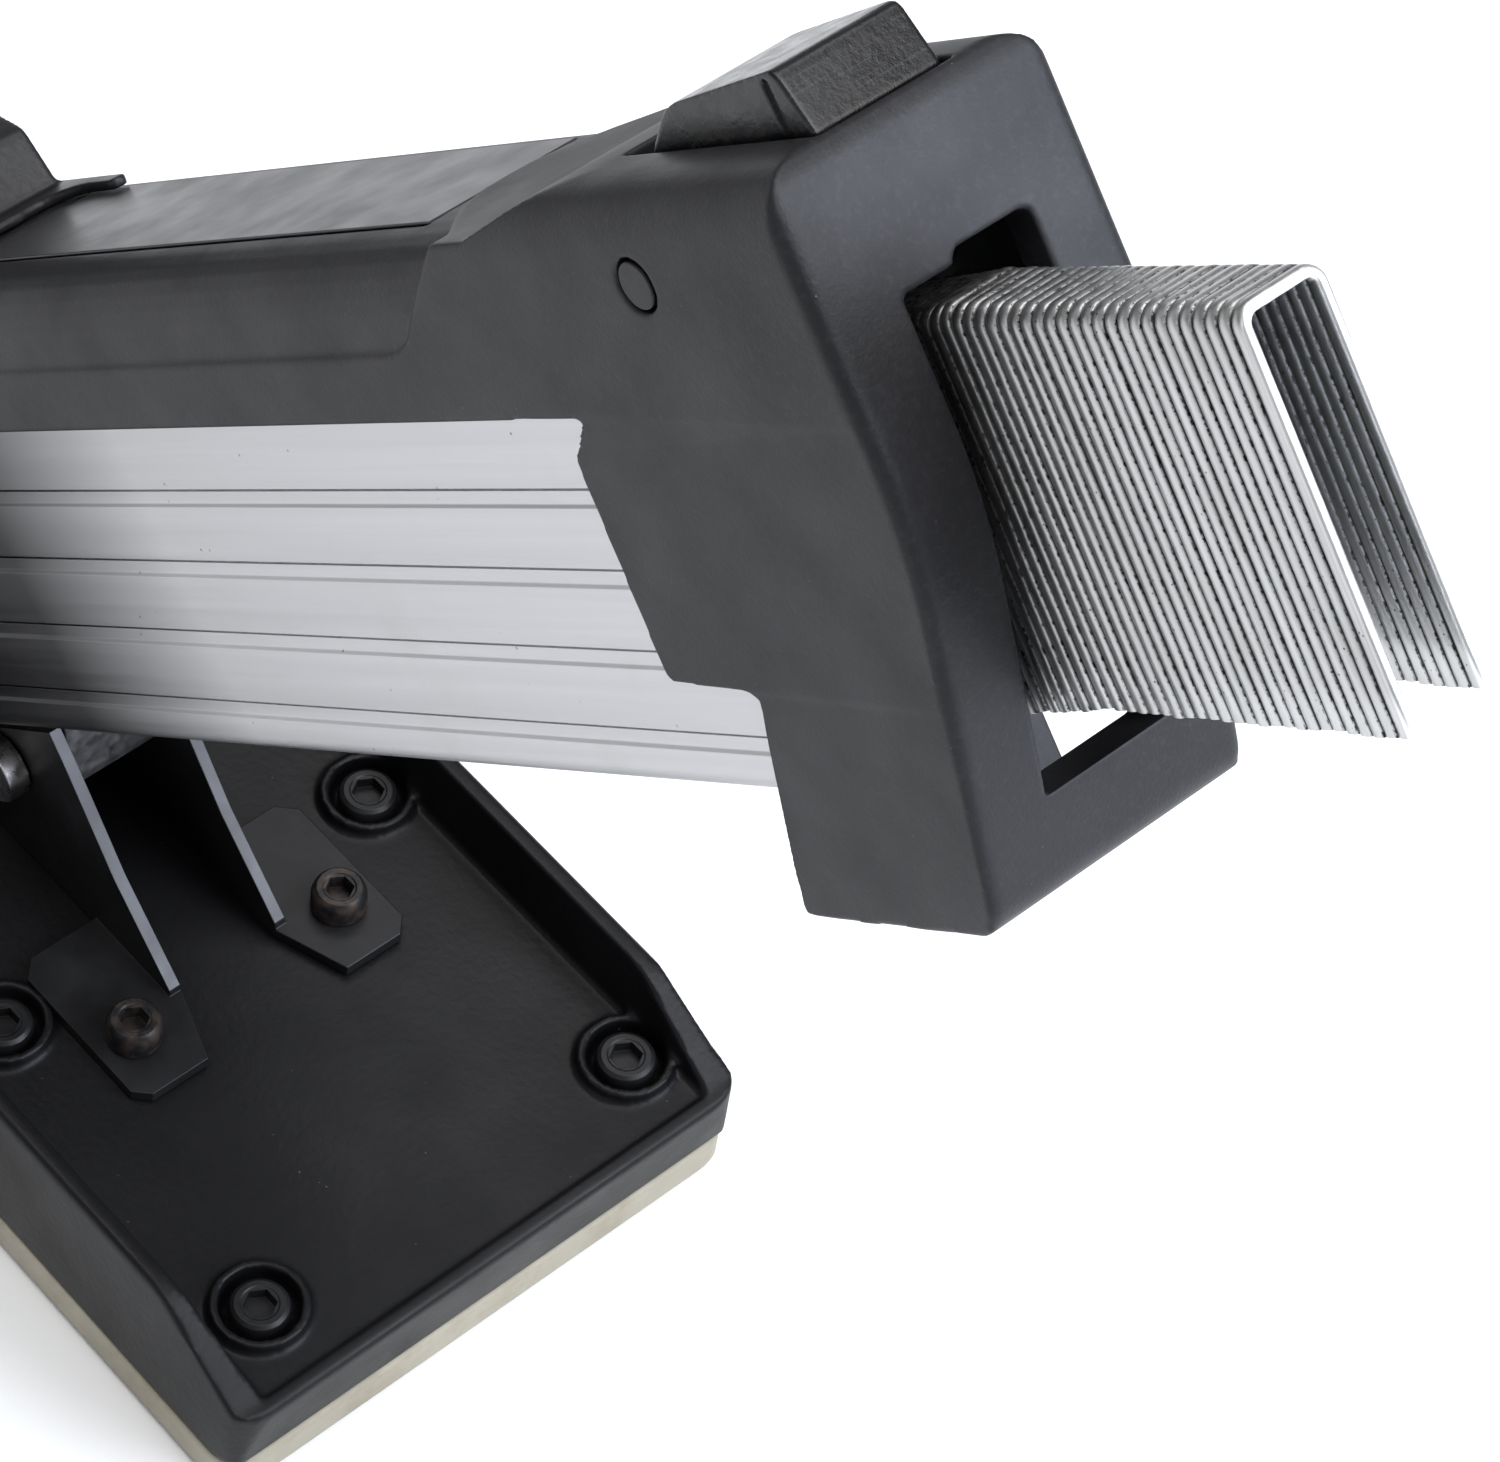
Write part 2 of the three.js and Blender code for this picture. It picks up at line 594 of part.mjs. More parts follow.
function airFitting() {
  const start = HANDLE_REAR + 2;
  const collar = HANDLE_REAR + 14.7;
  return cut(
    join(
      bar([start, 0, HANDLE_U], [collar + 1, 0, HANDLE_U], 6.6, 20),
      bar([collar, 0, HANDLE_U], [collar + 10, 0, HANDLE_U], 10, 6),
      bar([collar + 9, 0, HANDLE_U], [collar + 18, 0, HANDLE_U], 5.4, 20),
      bar([collar + 17, 0, HANDLE_U], [collar + 22, 0, HANDLE_U], 6.4, 20),
      bar([collar + 21, 0, HANDLE_U], [collar + 33, 0, HANDLE_U], 4.6, 20),
    ),
    bar([start - 1, 0, HANDLE_U], [collar + 34, 0, HANDLE_U], 2.8, 16),
  );
}

onMagazine('handle_end_cap', handleEndCap(), MATERIAL.casting);
onMagazine('air_fitting', airFitting(), MATERIAL.brass);
[-16, 16].forEach((du, i) => {
  const at = [HANDLE_REAR + 10.6, 0, HANDLE_U + du];
  const shape = bolt(at, [-1, 0, 0], { shank: 2.2, length: 9.4, head: 3.8, height: 2.6 });
  onMagazine(`end_cap_screw_${i + 1}`, shape, MATERIAL.zinc);
});

// ---------------------------------------------------------------- arm from handle to magazine

function magazineArm() {
  const flange = upward(outline([
    [96, -12.5], [137, -12.5, 8], [135.5, 6, 3], [140, 9.5, 3], [156, 9.5, 1], [156, 12.5, 1],
    [96, 12.5],
  ]), COVER_TOP + GAP, ARM_FLANGE_TOP);
  const rise = across(outline([
    [98, 72], [131, 72], [127.5, 81.4, 1.5], [117, 86, 5], [121, 104, 12], [126, 130, 10],
    [126, 168, 6], [98, 168, 6], [97, 120, 20], [98, 84],
  ]), -11, 11);
  return cut(
    join(flange, rise),
    block(90, 140, -5.6, 5.6, 140, 175),
    bar([112, -20, 159], [112, 20, 159], 4.3, 20),
    bar([ARM_BOLT_M, 0, 60], [ARM_BOLT_M, 0, 81], 2.8, 8),
  );
}

onMagazine('magazine_arm', magazineArm(), MATERIAL.casting);
onMagazine('arm_bolt', bolt([ARM_BOLT_M, 0, CHANNEL_TOP + 1.8], [0, 0, 1],
  { shank: 2.4, length: 12, head: 4.4, height: 1.8 }), MATERIAL.blackSteel);
onMagazine('arm_cross_bolt', bolt([112, -11 - GAP, 159], [0, 1, 0],
  { shank: 4, length: 22, head: 6.5, height: 5 }), MATERIAL.zinc);

// ---------------------------------------------------------------- shoe

const shoeOutline = (half, rear, front = SHOE_FRONT) => outline([
  [front, SHOE_Y - half, 4], [rear, SHOE_Y - half, 7], [rear, SHOE_Y + half, 7],
  [front, SHOE_Y + half, 4],
]);

const mirrored = (points, middle = 0) =>
  points.flatMap(([x, y]) => [[x, middle - y], [x, middle + y]]);

function basePlate() {
  const wallSide = outline([
    [SHOE_FRONT - 1, SHOE_BOTTOM], [WEAR_REAR - 0.4, SHOE_BOTTOM], [SHOE_REAR, 20],
    [SHOE_REAR, DECK + 0.6], [169, DECK + 0.8, 1], [149, SHOE_RIM, 4], [16, SHOE_RIM, 8],
    [SHOE_FRONT - 1, 24],
  ]);
  const wallAlong = outline([
    [SHOE_Y - SHOE_HALF, SHOE_BOTTOM], [SHOE_Y + SHOE_HALF, SHOE_BOTTOM],
    [SHOE_Y + SHOE_RIM_HALF, SHOE_RIM], [SHOE_Y - SHOE_RIM_HALF, SHOE_RIM],
  ]);
  const body = upward(shoeOutline(SHOE_HALF, SHOE_REAR), SHOE_BOTTOM, SHOE_RIM, 5)
    .intersect(across(wallSide, -60, 60, 4))
    .intersect(along(wallAlong, SHOE_FRONT - 1, SHOE_REAR + 1));
  const ears = [-1, 1].map((side) => across(outline([
    [4, 12], [44, 12], [38, 30, 4], [20, 40, 8], [4, 38, 5],
  ]), side > 0 ? MAG_HALF + 1.2 : -24.5, side > 0 ? 24.5 : -MAG_HALF - 1.2));
  const bosses = mirrored(SHOE_SCREWS).map(([x, y]) => bar([x, y, 12], [x, y, 24], 7.4, 12));
  const pad = upward(rectangle(20, SHOE_Y - 46, 80, SHOE_Y + 46), 12, DECK);
  const inside = upward(shoeOutline(SHOE_ROOM_HALF, SHOE_REAR - SHOE_LIP, -40), DECK, 50);
  const ribSpace = [[26, 60], [64, 98], [102, 134], [138, 164]].flatMap(([x0, x1]) =>
    [[-45, -2], [2, 45]].map(([y0, y1]) => block(x0, x1, SHOE_Y + y0, SHOE_Y + y1, 0, 14)));
  const notch = block(-40, 57, -MAG_HALF - 0.8, MAG_HALF + 0.8, 0, 60);
  const solidSpots = [...mirrored(SHOE_SCREWS), ...mirrored([FOOT_BOLT], SHOE_Y)]
    .map(([x, y]) => bar([x, y, SHOE_BOTTOM - GAP], [x, y, 18], 7, 8));
  const shell = join(cut(body, inside, ...ribSpace), ...bosses, pad, ...ears, ...solidSpots);
  return cut(
    shell,
    notch,
    block(-40, SHOE_REAR, -SHOE_HALF - 5, SHOE_HALF + 5, -5, SHOE_BOTTOM),
    ...mirrored(SHOE_SCREWS).map(([x, y]) => bar([x, y, 0], [x, y, 30], 3.3, 8)),
    ...mirrored(SHOE_SCREWS).map(([x, y]) => bar([x, y, 19], [x, y, 30], 5.4, 12)),
    ...mirrored([FOOT_BOLT], SHOE_Y).map(([x, y]) => bar([x, y, 0], [x, y, 30], 2.9, 8)),
    ...[-1, 1].map((side) => bar([SIDE_BOLT.x, side * 30, SIDE_BOLT.z],
      [SIDE_BOLT.x, side * 10, SIDE_BOLT.z], 3, 8)),
  );
}

function wearPlate() {
  const plate = upward(shoeOutline(SHOE_HALF + 0.4, WEAR_REAR), 0, WEAR_TOP);
  const tapped = mirrored(SHOE_SCREWS).map(([x, y]) => bar([x, y, 2], [x, y, 10], 3.3, 8));
  return cut(plate, block(-40, 44, -MAG_HALF - 0.8, MAG_HALF + 0.8, -5, 10), ...tapped);
}

function supportBracket(side) {
  const faces = [PLATE_IN, PLATE_IN + PLATE_THICK].map((y) => SHOE_Y + side * y);
  const upright = across(outline([
    [57, DECK + GAP], [103.5, DECK + GAP], [103, 24.6], [88.5, 38.8], [76, 54.5], [71.5, 59.6],
    [51, 39.6, 3], [52, 30, 3],
  ]), Math.min(...faces), Math.max(...faces));
  const footEdge = [
    [84, PLATE_IN], [103.5, PLATE_IN], [116, 14], [116, 25], [113.5, 27.5], [87, 27.5], [84, 24.5],
  ];
  const points = footEdge.map(([x, y]) => [x, SHOE_Y + side * y]);
  const foot = upward(outline(side > 0 ? points : points.reverse()), DECK + GAP, DECK + GAP + PLATE_THICK);
  const boltY = SHOE_Y + side * FOOT_BOLT[1];
  return cut(
    join(upright, foot),
    bar([FOOT_BOLT[0], boltY, 15], [FOOT_BOLT[0], boltY, 30], 3, 8),
    bar([HANGER_BOLT.x, -20, HANGER_BOLT.z], [HANGER_BOLT.x, 20, HANGER_BOLT.z],
      HANGER_BOLT.r + GAP, 16),
  );
}

onShoe('base_plate', basePlate(), MATERIAL.casting);
onShoe('wear_plate', wearPlate(), MATERIAL.sole);
mirrored(SHOE_SCREWS).forEach(([x, y], i) => {
  const shape = bolt([x, y, 19.3], [0, 0, -1], { shank: 3, length: 16.5, head: 5, height: 6.2 });
  onShoe(`base_screw_${i + 1}`, shape, MATERIAL.blackSteel);
});
onShoe('support_bracket_left', supportBracket(-1), MATERIAL.blackSteel);
onShoe('support_bracket_right', supportBracket(1), MATERIAL.blackSteel);
mirrored([FOOT_BOLT], SHOE_Y).forEach(([x, y], i) => {
  const shape = bolt([x, y, DECK + PLATE_THICK + 2 * GAP], [0, 0, -1],
    { shank: 2.6, length: DECK + PLATE_THICK - SHOE_BOTTOM, head: 5, height: 5 });
  onShoe(`foot_bolt_${i + 1}`, shape, MATERIAL.blackSteel);
});
[-1, 1].forEach((side, i) => {
  const shape = bolt([SIDE_BOLT.x, side * (24.5 + GAP), SIDE_BOLT.z], [0, -side, 0],
    { shank: 2.6, length: 13, head: 4.6, height: 4 });
  onShoe(`nose_side_bolt_${i + 1}`, shape, MATERIAL.blackSteel);
});

// The lug under the extrusion that the two brackets hold, and its cross bolt.
const [hangerM, hangerU] = toDriving(HANGER_BOLT);
onMagazine('hanger_block', cut(
  across(outline([
    [hangerM - 18, MAG_BOTTOM - GAP], [hangerM - 9, hangerU - 7, 3], [hangerM + 9, hangerU - 7, 3],
    [hangerM + 22, MAG_BOTTOM - GAP],
  ]), SHOE_Y - PLATE_IN + GAP, SHOE_Y + PLATE_IN - GAP),
  bar([hangerM, -20, hangerU], [hangerM, 20, hangerU], HANGER_BOLT.r + GAP, 16),
), MATERIAL.aluminium);
const hangerBoltY = SHOE_Y - PLATE_IN - PLATE_THICK - GAP;
onShoe('hanger_bolt', bolt([HANGER_BOLT.x, hangerBoltY, HANGER_BOLT.z], [0, 1, 0],
  { shank: HANGER_BOLT.r, length: 26, head: 5.5, height: 4 }), MATERIAL.zinc);

// ---------------------------------------------------------------- origin

// The origin goes under the middle of the bounding box, on the floor.
tool.updateMatrixWorld(true);
const bounds = new THREE.Box3().setFromObject(tool, true);
const middle = bounds.getCenter(new THREE.Vector3());
tool.position.set(-middle.x, -middle.y, -bounds.min.z);

const root = new THREE.Group();
root.add(tool);
export default root;
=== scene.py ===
import json
import math
import random

import bmesh
import bpy
from mathutils import Matrix, Vector

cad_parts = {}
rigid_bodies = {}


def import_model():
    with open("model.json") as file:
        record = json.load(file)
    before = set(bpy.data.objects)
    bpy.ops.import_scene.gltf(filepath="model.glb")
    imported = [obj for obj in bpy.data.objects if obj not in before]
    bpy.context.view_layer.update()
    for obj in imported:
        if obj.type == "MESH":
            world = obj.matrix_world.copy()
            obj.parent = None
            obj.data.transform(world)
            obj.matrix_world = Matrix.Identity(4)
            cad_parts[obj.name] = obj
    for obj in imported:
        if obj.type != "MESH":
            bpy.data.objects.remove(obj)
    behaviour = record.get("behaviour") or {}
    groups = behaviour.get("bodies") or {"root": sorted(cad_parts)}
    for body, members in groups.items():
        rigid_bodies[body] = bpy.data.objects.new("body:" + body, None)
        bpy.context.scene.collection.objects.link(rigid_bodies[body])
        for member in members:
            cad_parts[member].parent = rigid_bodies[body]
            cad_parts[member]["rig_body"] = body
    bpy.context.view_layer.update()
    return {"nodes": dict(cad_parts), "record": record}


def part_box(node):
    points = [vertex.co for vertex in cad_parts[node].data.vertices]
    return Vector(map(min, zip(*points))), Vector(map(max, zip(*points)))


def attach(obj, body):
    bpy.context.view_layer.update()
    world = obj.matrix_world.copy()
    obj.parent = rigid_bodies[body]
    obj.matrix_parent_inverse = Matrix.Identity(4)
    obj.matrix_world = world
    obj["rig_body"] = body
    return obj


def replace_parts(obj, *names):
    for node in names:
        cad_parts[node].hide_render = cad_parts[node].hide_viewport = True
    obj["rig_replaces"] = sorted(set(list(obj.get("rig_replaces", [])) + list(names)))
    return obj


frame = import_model()

# ---------------------------------------------------------------- the tool's two frames
#
# The magazine and the cylinder are drawn in millimetres in the driving frame, which is turned
# 45 degrees: m runs along the magazine from the staple exit, y across the tool, u up the
# cylinder. The shoe is drawn level, in millimetres from the same point on the floor.

MM = 0.001
STRIP_REAR = 420.0
DRIVE_ANGLE = math.radians(45)
stick_low, stick_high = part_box("staple_strip")
exit_x = stick_high.x - STRIP_REAR * math.cos(DRIVE_ANGLE) * MM
exit_y = (stick_low.y + stick_high.y) / 2
LEVEL = Matrix.Translation((exit_x, exit_y, 0)) @ Matrix.Scale(MM, 4)
DRIVING = LEVEL @ Matrix.Rotation(-DRIVE_ANGLE, 4, "Y")

MAG_HALF = 17.0
COVER_HALF = 21.2
COVER_TOP = 70.3
CAP_TOP = 75.8
CAP_REAR = 367.0
CAP_BOTTOM = -23.0
PROUD_TOP = COVER_TOP + 0.5
CHANNEL_REAR = 308.0
ARM_BOLT_M = 112.0
PIN_M, PIN_U, PIN_R = 333.6, 63.9, 4.1
PIN_END_R = 3.1

# ---------------------------------------------------------------- mesh helpers


def outline(points, steps=6):
    """A closed list of 2-D points. A third number in a point rounds off that corner."""
    made = []
    count = len(points)
    for i, point in enumerate(points):
        here = Vector(point[:2])
        radius = point[2] if len(point) > 2 else 0
        if not radius:
            made.append(here)
            continue
        before = Vector(points[i - 1][:2]) - here
        after = Vector(points[(i + 1) % count][:2]) - here
        start = here + before.normalized() * radius
        end = here + after.normalized() * radius
        for k in range(steps + 1):
            t = k / steps
            made.append(start * (1 - t) ** 2 + here * 2 * t * (1 - t) + end * t * t)
    return made


def box_outline(a0, b0, a1, b1, radius=0.0):
    return outline([(a0, b0, radius), (a1, b0, radius), (a1, b1, radius), (a0, b1, radius)])


def circle(radius, count=48, centre=(0, 0)):
    return [Vector((centre[0] + radius * math.cos(2 * math.pi * i / count),
                    centre[1] + radius * math.sin(2 * math.pi * i / count))) for i in range(count)]


def ellipse(half_a, half_b, centre, count):
    return [Vector((centre[0] + half_a * math.cos(2 * math.pi * i / count),
                    centre[1] + half_b * math.sin(2 * math.pi * i / count))) for i in range(count)]


def new_object(name, mesh):
    piece = bpy.data.objects.new(name, mesh)
    bpy.context.scene.collection.objects.link(piece)
    return piece


def solid_of(bm):
    bmesh.ops.recalc_face_normals(bm, faces=bm.faces)
    mesh = bpy.data.meshes.new("part")
    bm.to_mesh(mesh)
    bm.free()
    return new_object("part", mesh)


PLACE = {
    "across": lambda a, b, t: (a, t, b),
    "along": lambda a, b, t: (t, a, b),
    "upward": lambda a, b, t: (a, b, t),
}


def prism(points, low, high, way):
    """The outline, extruded across the tool, along the magazine or upward."""
    bm = bmesh.new()
    rings = [[bm.verts.new(PLACE[way](p[0], p[1], t)) for p in points] for t in (low, high)]
    bm.faces.new(rings[0])
    bm.faces.new(rings[1])
    count = len(points)
    for i in range(count):
        j = (i + 1) % count
        bm.faces.new((rings[0][i], rings[0][j], rings[1][j], rings[1][i]))
    return solid_of(bm)


def soften_rim(piece, from_m, radius):
    """Rounds the edges at both ends of an across prism, where it lies behind one place."""
    bm = bmesh.new()
    bm.from_mesh(piece.data)
    rim = [e for e in bm.edges
           if all(v.co.x > from_m for v in e.verts) and abs(e.verts[0].co.y - e.verts[1].co.y) < 0.01]
    bmesh.ops.bevel(bm, geom=rim, offset=radius, segments=5, profile=0.5, affect="EDGES")
    bm.to_mesh(piece.data)
    bm.free()
    return piece


def block(x0, x1, y0, y1, z0, z1):
    return prism(box_outline(x0, y0, x1, y1), z0, z1, "upward")


def hull(points):
    """The convex solid round a few points."""
    bm = bmesh.new()
    for p in points:
        bm.verts.new(p)
    bmesh.ops.convex_hull(bm, input=bm.verts)
    return solid_of(bm)


def rod(start, end, radius, count=32, end_radius=None):
    """A round bar, or a cone, between two points."""
    a, b = Vector(start), Vector(end)
    bm = bmesh.new()
    bmesh.ops.create_cone(
        bm, cap_ends=True, segments=count, radius1=radius,
        radius2=radius if end_radius is None else end_radius, depth=(b - a).length)
    turn = Vector((0, 0, 1)).rotation_difference(b - a).to_matrix().to_4x4()
    bmesh.ops.transform(bm, matrix=Matrix.Translation((a + b) / 2) @ turn, verts=bm.verts)
    return solid_of(bm)


def lathe(profile, count=64):
    """A closed profile of (radius, height) points, turned about z; on the axis a point is shared."""
    bm = bmesh.new()
    rings = []
    for radius, height in profile:
        if radius < 1e-6:
            rings.append([bm.verts.new((0, 0, height))] * count)
        else:
            rings.append([bm.verts.new((radius * math.cos(2 * math.pi * i / count),
                                        radius * math.sin(2 * math.pi * i / count), height))
                          for i in range(count)])
    for k, ring in enumerate(rings):
        other = rings[(k + 1) % len(rings)]
        if profile[k][0] < 1e-6 and profile[(k + 1) % len(rings)][0] < 1e-6:
            continue
        for i in range(count):
            j = (i + 1) % count
            corners = []
            for v in (ring[i], ring[j], other[j], other[i]):
                if v not in corners:
                    corners.append(v)
            bm.faces.new(corners)
    return solid_of(bm)


def evaluated(piece):
    """Applies a piece's modifiers."""
    graph = bpy.context.evaluated_depsgraph_get()
    graph.update()
    mesh = bpy.data.meshes.new_from_object(piece.evaluated_get(graph), depsgraph=graph)
    piece.modifiers.clear()
    piece.data = mesh
    return piece


def drop(pieces):
    for piece in pieces:
        bpy.data.objects.remove(piece)


def combine(base, others, operation):
    """The base joined with, cut by, or kept inside the other solids."""
    for other in others:
        step = base.modifiers.new("step", "BOOLEAN")
        step.object = other
        step.operation = operation
        step.solver = "EXACT"
    evaluated(base)
    drop(others)
    return base


def join(base, *others):
    return combine(base, others, "UNION")


def cut(base, *others):
    return combine(base, others, "DIFFERENCE")


def within(base, *others):
    return combine(base, others, "INTERSECT")


def moulded(piece, voxel=0.6, rounds=4, faces=120000):
    """Turns a sharp solid into one with softly rounded edges, as a casting or a moulding has."""
    skin = piece.modifiers.new("skin", "REMESH")
    skin.mode = "VOXEL"
    skin.voxel_size = voxel
    soften = piece.modifiers.new("soften", "SMOOTH")
    soften.factor = 0.5
    soften.iterations = rounds
    evaluated(piece)
    triangles = 2 * len(piece.data.polygons)
    if triangles > faces:
        thin = piece.modifiers.new("thin", "DECIMATE")
        thin.ratio = faces / triangles
        evaluated(piece)
    piece.data.shade_smooth()
    return piece


def bevelled(piece, width, segments=2, angle=30.0):
    """Rounds a machined piece's edges with a true bevel and keeps its faces flat."""
    edge = piece.modifiers.new("edge", "BEVEL")
    edge.width = width
    edge.segments = segments
    edge.limit_method = "ANGLE"
    edge.angle_limit = math.radians(angle)
    edge.harden_normals = True
    piece.data.shade_smooth()
    return evaluated(piece)


def tidy_copy(node, matrix):
    """A CAD node's solid in a millimetre frame, without its needless edges."""
    mesh = frame["nodes"][node].data.copy()
    mesh.transform(matrix.inverted())
    mesh.materials.clear()
    bm = bmesh.new()
    bm.from_mesh(mesh)
    bmesh.ops.remove_doubles(bm, verts=bm.verts, dist=0.004)
    bmesh.ops.dissolve_limit(bm, angle_limit=math.radians(1.0), verts=bm.verts, edges=bm.edges)
    bm.to_mesh(mesh)
    bm.free()
    for layer in list(mesh.attributes):
        if layer.name.startswith("custom_normal"):
            mesh.attributes.remove(layer)
    return new_object(node + "_copy", mesh)


slot_of = {s["node"]: s["material_slot"] for s in frame["record"]["subparts"]}


def keep(piece, name, node, material, matrix):
    """Puts a finished piece in place for a CAD node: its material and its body."""
    piece.name = name
    piece.data.name = name
    piece.data.transform(matrix)
    piece.data.materials.clear()
    piece.data.materials.append(material)
    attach(piece, frame["nodes"][node]["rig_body"])
    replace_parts(piece, node)


# ---------------------------------------------------------------- materials


class Surface:
    """Builds one procedural material from a few layers."""

    def __init__(self, name, roughness=0.5, metallic=0.0, specular=0.5, coat=0.0, coat_roughness=0.1):
        self.material = bpy.data.materials.new(name)
        self.material.use_nodes = True
        self.tree = self.material.node_tree
        self.shader = self.tree.nodes["Principled BSDF"]
        self.shader.inputs["Roughness"].default_value = roughness
        self.shader.inputs["Metallic"].default_value = metallic
        self.shader.inputs["Specular IOR Level"].default_value = specular
        self.shader.inputs["Coat Weight"].default_value = coat
        self.shader.inputs["Coat Roughness"].default_value = coat_roughness
        self.place = self.node("ShaderNodeTexCoord").outputs["Object"]
        self.normal = None

    def node(self, kind, **values):
        made = self.tree.nodes.new(kind)
        for key, value in values.items():
            setattr(made, key, value)
        return made

    def link(self, source, target):
        self.tree.links.new(source, target)

    def stretched(self, scale, turn=0.0):
        """Object coordinates, turned about y into the driving frame and stretched."""
        made = self.node("ShaderNodeMapping")
        made.vector_type = "TEXTURE"
        made.inputs["Rotation"].default_value = (0, turn, 0)
        made.inputs["Scale"].default_value = scale
        self.link(self.place, made.inputs["Vector"])
        return made.outputs["Vector"]

    def noise(self, scale, detail=3.0, roughness=0.55, place=None):
        made = self.node("ShaderNodeTexNoise")
        made.inputs["Scale"].default_value = scale
        made.inputs["Detail"].default_value = detail
        made.inputs["Roughness"].default_value = roughness
        self.link(place or self.place, made.inputs["Vector"])
        return made.outputs["Fac"]

    def cells(self, scale):
        made = self.node("ShaderNodeTexVoronoi", feature="F1")
        made.inputs["Scale"].default_value = scale
        self.link(self.place, made.inputs["Vector"])
        return made.outputs["Distance"]

    def remap(self, value, low, high, out_low=0.0, out_high=1.0):
        made = self.node("ShaderNodeMapRange")
        for socket, number in zip(("From Min", "From Max", "To Min", "To Max"),
                                  (low, high, out_low, out_high)):
            made.inputs[socket].default_value = number
        self.link(value, made.inputs["Value"])
        return made.outputs["Result"]

    def multiply(self, a, b):
        made = self.node("ShaderNodeMath", operation="MULTIPLY")
        self.link(a, made.inputs[0])
        if isinstance(b, float):
            made.inputs[1].default_value = b
        else:
            self.link(b, made.inputs[1])
        return made.outputs["Value"]

    def largest(self, a, b):
        made = self.node("ShaderNodeMath", operation="MAXIMUM")
        self.link(a, made.inputs[0])
        self.link(b, made.inputs[1])
        return made.outputs["Value"]

    def attribute(self, name):
        return self.node("ShaderNodeAttribute", attribute_name=name).outputs["Fac"]

    def along_magazine(self, low, high, out_low=0.0, out_high=1.0):
        """A value that changes between two places along the magazine, given in millimetres."""
        dot = self.node("ShaderNodeVectorMath", operation="DOT_PRODUCT")
        self.link(self.place, dot.inputs[0])
        way = DRIVING.to_3x3() @ Vector((1, 0, 0))
        dot.inputs[1].default_value = way.normalized()
        start = DRIVING.translation.dot(way.normalized())
        return self.remap(dot.outputs["Value"], start + low * MM, start + high * MM, out_low, out_high)

    def mix(self, factor, first, second):
        """A colour between two colours; either may be the result of an earlier mix."""
        made = self.node("ShaderNodeMix", data_type="RGBA")
        self.link(factor, made.inputs["Factor"])
        for value, socket in ((first, made.inputs["A"]), (second, made.inputs["B"])):
            sockets = [s for s in made.inputs if s.name == socket.name and s.type == "RGBA"]
            if isinstance(value, tuple):
                sockets[0].default_value = (*value, 1)
            else:
                self.link(value, sockets[0])
        return [s for s in made.outputs if s.type == "RGBA"][0]

    def colour(self, value):
        self.link(value, self.shader.inputs["Base Color"])

    def rough(self, value):
        self.link(value, self.shader.inputs["Roughness"])

    def bump(self, height, distance, strength=1.0):
        made = self.node("ShaderNodeBump")
        made.inputs["Strength"].default_value = strength
        made.inputs["Distance"].default_value = distance
        self.link(height, made.inputs["Height"])
        if self.normal is not None:
            self.link(self.normal, made.inputs["Normal"])
        self.normal = made.outputs["Normal"]
        self.link(self.normal, self.shader.inputs["Normal"])
        return self


def moulding_material():
    s = Surface("black_moulding", roughness=0.45, specular=0.27)
    cloud = s.remap(s.noise(38, 4), 0.35, 0.7)
    base = s.mix(cloud, (0.0105, 0.0105, 0.0125), (0.0150, 0.0150, 0.0178))
    mottled = s.mix(s.remap(s.noise(900, 3, 0.7), 0.5, 0.75), base, (0.021, 0.021, 0.0245))
    dust = s.remap(s.cells(420), 0.05, 0.03)
    dust = s.multiply(dust, s.remap(s.noise(120, 2), 0.54, 0.62))
    s.colour(s.mix(dust, mottled, (0.12, 0.12, 0.125)))
    s.rough(s.remap(s.noise(60, 3), 0.3, 0.7, 0.40, 0.52))
    s.bump(s.noise(2100, 3, 0.6), 0.00010, 0.5)
    s.bump(s.noise(260, 2), 0.0002, 0.15)
    return s.material


def gloss_material():
    s = Surface("gloss_moulding", roughness=0.26, specular=0.36, coat=0.06, coat_roughness=0.22)
    base = s.mix(s.remap(s.noise(90, 4), 0.35, 0.7), (0.004, 0.004, 0.0046), (0.009, 0.009, 0.010))
    scratch = s.noise(60, 2, 0.5, s.stretched((0.02, 1, 1), math.radians(20)))
    lines = s.remap(scratch, 0.62, 0.66)
    s.colour(s.mix(s.multiply(lines, 0.5), base, (0.03, 0.03, 0.033)))
    s.rough(s.remap(s.noise(300, 3), 0.3, 0.7, 0.2, 0.34))
    s.bump(s.noise(1100, 3, 0.65), 0.00012, 0.45)
    s.bump(s.noise(240, 2), 0.0002, 0.2)
    return s.material


def casting_material(name, low, high, roughness, specular):
    s = Surface(name, roughness=roughness, specular=specular)
    base = s.mix(s.remap(s.noise(30, 4), 0.35, 0.7), low, high)
    dust = s.multiply(s.remap(s.cells(300), 0.05, 0.03), s.remap(s.noise(90, 2), 0.52, 0.62))
    s.colour(s.mix(dust, base, (0.1, 0.1, 0.105)))
    s.rough(s.remap(s.noise(45, 4), 0.3, 0.7, roughness - 0.07, roughness + 0.08))
    s.bump(s.noise(750, 3), 0.00020, 0.35)
    s.bump(s.noise(120, 2), 0.0004, 0.15)
    return s.material


